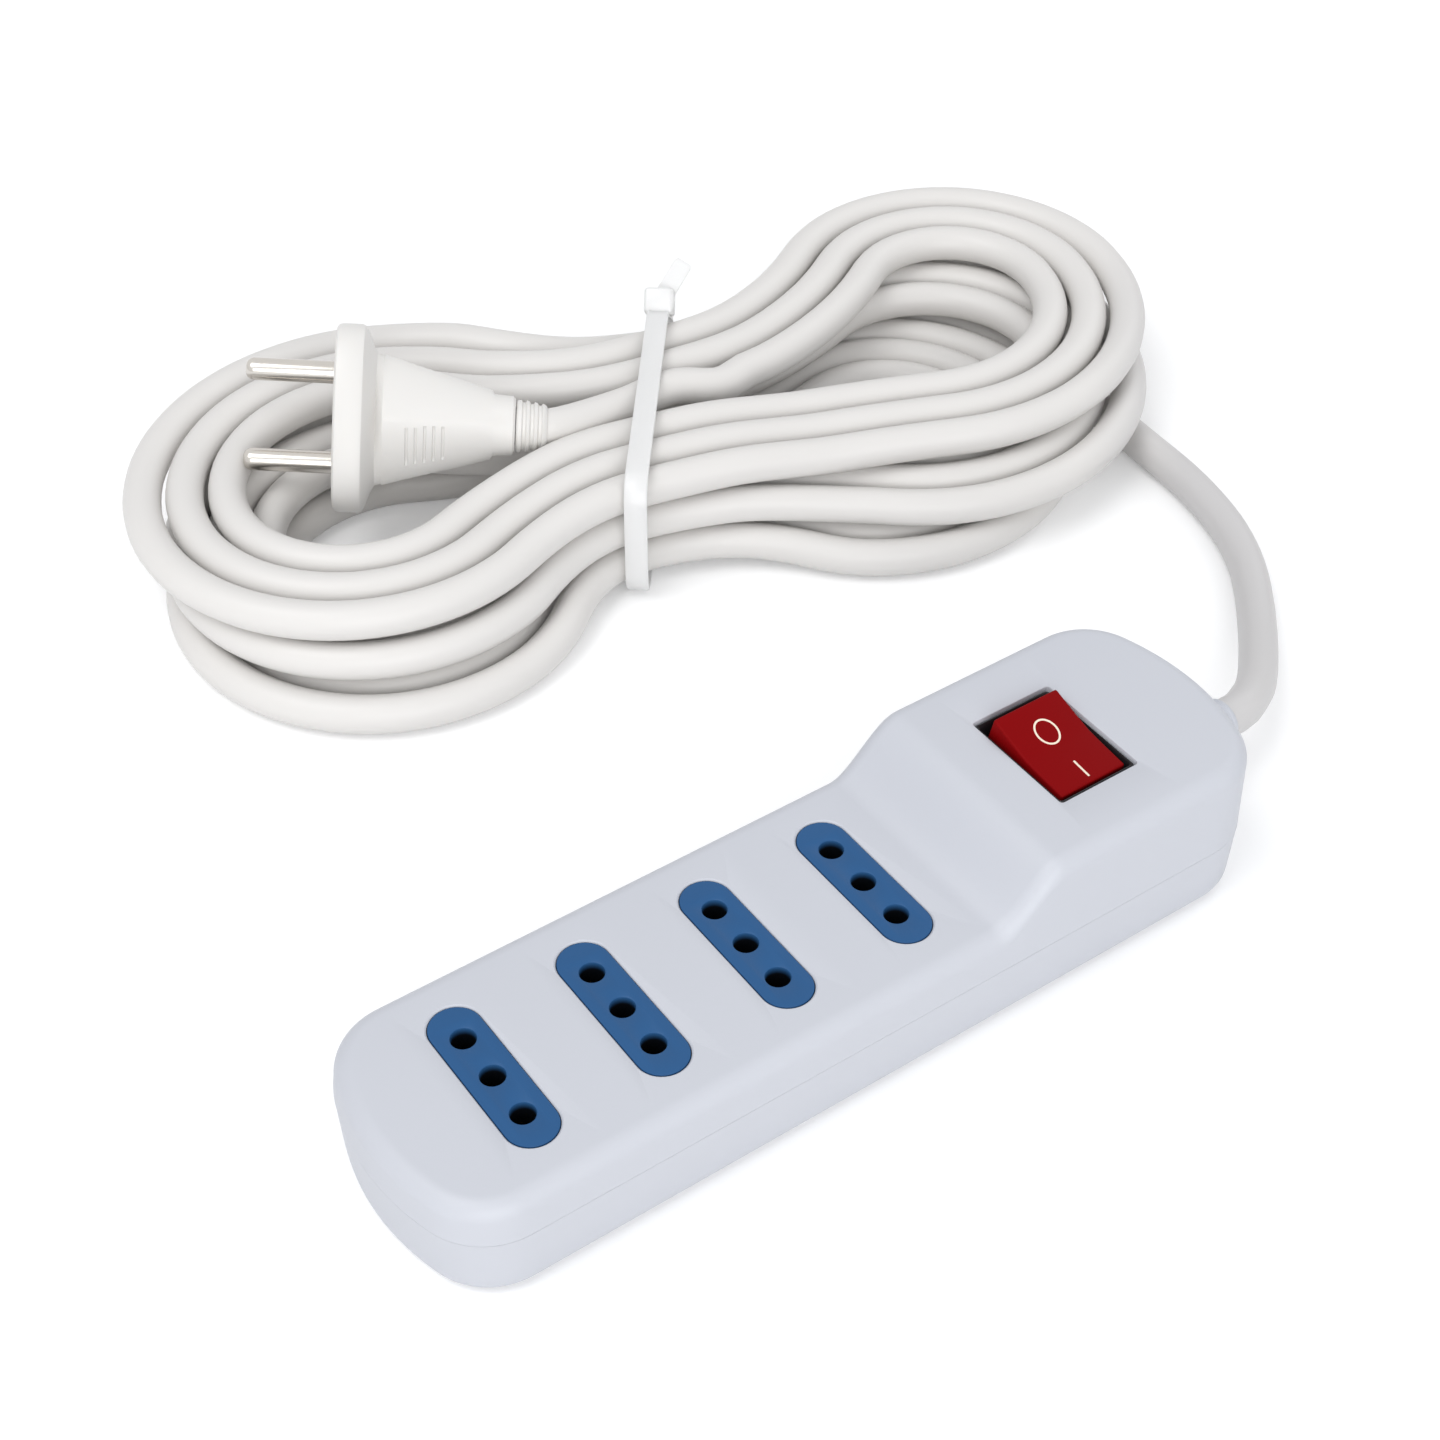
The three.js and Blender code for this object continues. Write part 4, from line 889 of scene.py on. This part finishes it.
def build_tie_band():
    inside = 5.45 * MM
    thick = 1.2 * MM
    edge = 0.8 * thick
    flat = TIE_HALF - 0.35 * MM
    section = [(inside, -TIE_HALF), (inside, TIE_HALF), (inside + edge, TIE_HALF), (inside + thick, flat),
               (inside + thick, -flat), (inside + edge, -TIE_HALF)]
    belts = [[(x, y, z) for y, z in belt(radius)] for radius, x in section]
    band = loop_object("cable_tie_band", list(zip(*belts)), TIE)
    return settle(place(band, tie_matrix()), "strip", "cable_tie")


def build_tie_head(seat):
    half_x, half_y, corner = 3.3 * MM, 4.4 * MM, 0.9 * MM
    profile = ((0.4, -3), (0, -2.4), (0, 2.3), (0.3, 2.8), (0.7, 3.0))
    head = rings_object("cable_tie_head", [
        round_rect_ring(0, half_x - cut * MM, half_y - cut * MM, corner, z * MM) for cut, z in profile], TIE)
    return place(head, seat)


def build_tie_tail(seat):
    """Toothed end of the band that stands out of the head."""
    half_thick = 0.55 * MM
    start, length = 2 * MM, 8.6 * MM
    steps = 10
    rings = []
    for i in range(steps + 1):
        z = start + length * i / steps
        wide = TIE_HALF - 0.3 * MM - (0.5 * MM if i == steps else 0)
        tooth = 0.12 * MM * (i % 2)
        rings.append([(-wide, -half_thick + tooth, z), (wide, -half_thick + tooth, z),
                      (wide, half_thick, z), (-wide, half_thick, z)])
    tail = rings_object("cable_tie_tail", rings, TIE)
    return place(tail, seat @ Matrix.Rotation(TIE_LEAN, 4, "Y"))


def build_tie():
    band = build_tie_band()
    seat = tie_matrix() @ Matrix.Translation(TIE_HEAD) @ Matrix.Rotation(TIE_HEAD_TURN, 4, "X")
    head, tail = build_tie_head(seat), build_tie_tail(seat)
    for obj in (head, tail):
        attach(obj, "strip")
    return [band, head, tail]


# ------------------------------------------------------------------ bushing
def build_bushing():
    """Tapered strain relief: a collar behind the wall, a neck through it and four ribs outside."""
    start, end = BUSHING_LOW.x, BUSHING_HIGH.x
    wall = HALF_LENGTH
    wall_in = HALF_LENGTH - WALL - DRAFT
    collar_from, collar_to = wall_in - 3.3 * MM, wall_in - 0.5 * MM
    collar = 7.3 * MM
    neck = 5.9 * MM
    profile = [(start, 0), (start, 5.1 * MM), (collar_from, 5.2 * MM), (collar_from, collar), (collar_to, collar),
               (collar_to, neck), (wall - 0.2 * MM, neck), (wall + 0.2 * MM, neck - 0.5 * MM)]
    for k in range(4):
        x = wall + 1.6 * MM + k * 2.3 * MM
        rib = neck - (0.55 + 0.2 * k) * MM
        groove = rib - 0.28 * MM
        profile += [(x, rib), (x + 0.25 * MM, groove), (x + 0.7 * MM, groove), (x + 0.95 * MM, rib - 0.1 * MM)]
    profile += [(end - 0.3 * MM, 4.6 * MM), (end, 4.35 * MM), (end, 0)]
    obj = turned("cord_bushing_sleeve", profile, HOUSING)
    obj.location = (0, 0, PARTING)
    return settle(obj, "strip", "cord_bushing")


# ------------------------------------------------------------------ stage, light and camera
def seen_directly(tree):
    """1 for rays from the camera, also by way of metal or glass, and 0 for light on the object."""
    rays = tree.nodes.new("ShaderNodeLightPath")
    result = rays.outputs["Is Camera Ray"]
    for kind in ("Is Glossy Ray", "Is Transmission Ray"):
        either = tree.nodes.new("ShaderNodeMath")
        either.operation = "MAXIMUM"
        tree.links.new(result, either.inputs[0])
        tree.links.new(rays.outputs[kind], either.inputs[1])
        result = either.outputs["Value"]
    return result


FLOOR_GLOW = 0.2
FLOOR_HALF = 30.0
FLOOR_LOW = -0.3 * MM  # clear of the faces that stand on it


def build_stage():
    """Large pale floor; its glow is only seen and lights nothing."""
    mat, tree, bsdf = node_material("floor_white")
    bsdf.inputs["Base Color"].default_value = (0.86, 0.86, 0.86, 1)
    bsdf.inputs["Roughness"].default_value = 0.9
    bsdf.inputs["Emission Color"].default_value = (1, 1, 1, 1)
    glow = tree.nodes.new("ShaderNodeMath")
    glow.operation = "MULTIPLY"
    glow.inputs[1].default_value = FLOOR_GLOW
    tree.links.new(seen_directly(tree), glow.inputs[0])
    tree.links.new(glow.outputs["Value"], bsdf.inputs["Emission Strength"])
    corners = [(x * FLOOR_HALF, y * FLOOR_HALF, 0) for x, y in ((-1, -1), (1, -1), (1, 1), (-1, 1))]
    floor = mesh_object("floor", corners, [(0, 1, 2, 3)], mat)
    floor.location = (0, 0, FLOOR_LOW)


def area_light(name, at, size, power):
    """Round light that faces the middle of the object."""
    data = bpy.data.lights.new(name, "AREA")
    data.shape = "DISK"
    data.size = size
    data.energy = power
    obj = bpy.data.objects.new(name, data)
    scene.collection.objects.link(obj)
    obj.location = at
    middle = Vector((0.05, 0.07, 0.02))
    obj.rotation_euler = (middle - Vector(at)).to_track_quat("-Z", "Y").to_euler()


def build_light():
    """Three soft lights; the world lights the object in grey and is seen as white."""
    area_light("key", (-0.6, 0.1, 1.3), 0.9, 7.0)
    area_light("fill", (-0.5, -1.1, 0.6), 1.2, 9.5)
    area_light("rim", (1.0, 0.3, 0.7), 0.8, 1.5)
    world = bpy.data.worlds.new("studio")
    scene.world = world
    world.use_nodes = True
    tree = world.node_tree
    back = tree.nodes["Background"]
    pick = tree.nodes.new("ShaderNodeMix")
    pick.data_type = "RGBA"
    pick.inputs["A"].default_value = (0.62, 0.63, 0.65, 1)
    pick.inputs["B"].default_value = (1, 1, 1, 1)
    tree.links.new(seen_directly(tree), pick.inputs["Factor"])
    tree.links.new(pick.outputs["Result"], back.inputs["Color"])
    back.inputs["Strength"].default_value = 1.0


# the photograph's camera, fitted by the sockets' pitch, the plug's pins and the cord
CAMERA_AT = Vector((-182.1, -233.6, 343.2)) * MM
CAMERA_RIGHT = Vector((0.8207, -0.5714, 0)).normalized()
CAMERA_AHEAD = Vector((0.41767, 0.59983, -0.68246)).normalized()
FOCAL = 62.1  # mm, for a sensor 36 mm wide


def build_camera():
    data = bpy.data.cameras.new("photo_camera")
    data.sensor_width = 36
    data.lens = FOCAL
    data.clip_start = 0.01
    obj = bpy.data.objects.new("photo_camera", data)
    scene.collection.objects.link(obj)
    turn = Matrix((CAMERA_RIGHT, CAMERA_RIGHT.cross(CAMERA_AHEAD), -CAMERA_AHEAD)).transposed().to_4x4()
    obj.matrix_world = Matrix.Translation(CAMERA_AT) @ turn
    scene.camera = obj
    scene.view_settings.view_transform = "Standard"


# ------------------------------------------------------------------ assembly
build_camera()
build_stage()
build_light()
build_top_cover()
build_bottom_cover()
for number in range(SOCKETS):
    build_insert(number)
build_switch_frame()
build_rocker()
build_marks()
build_bushing()
plug_pieces = build_plug()
tie_pieces = build_tie()
build_cord(cord_path())
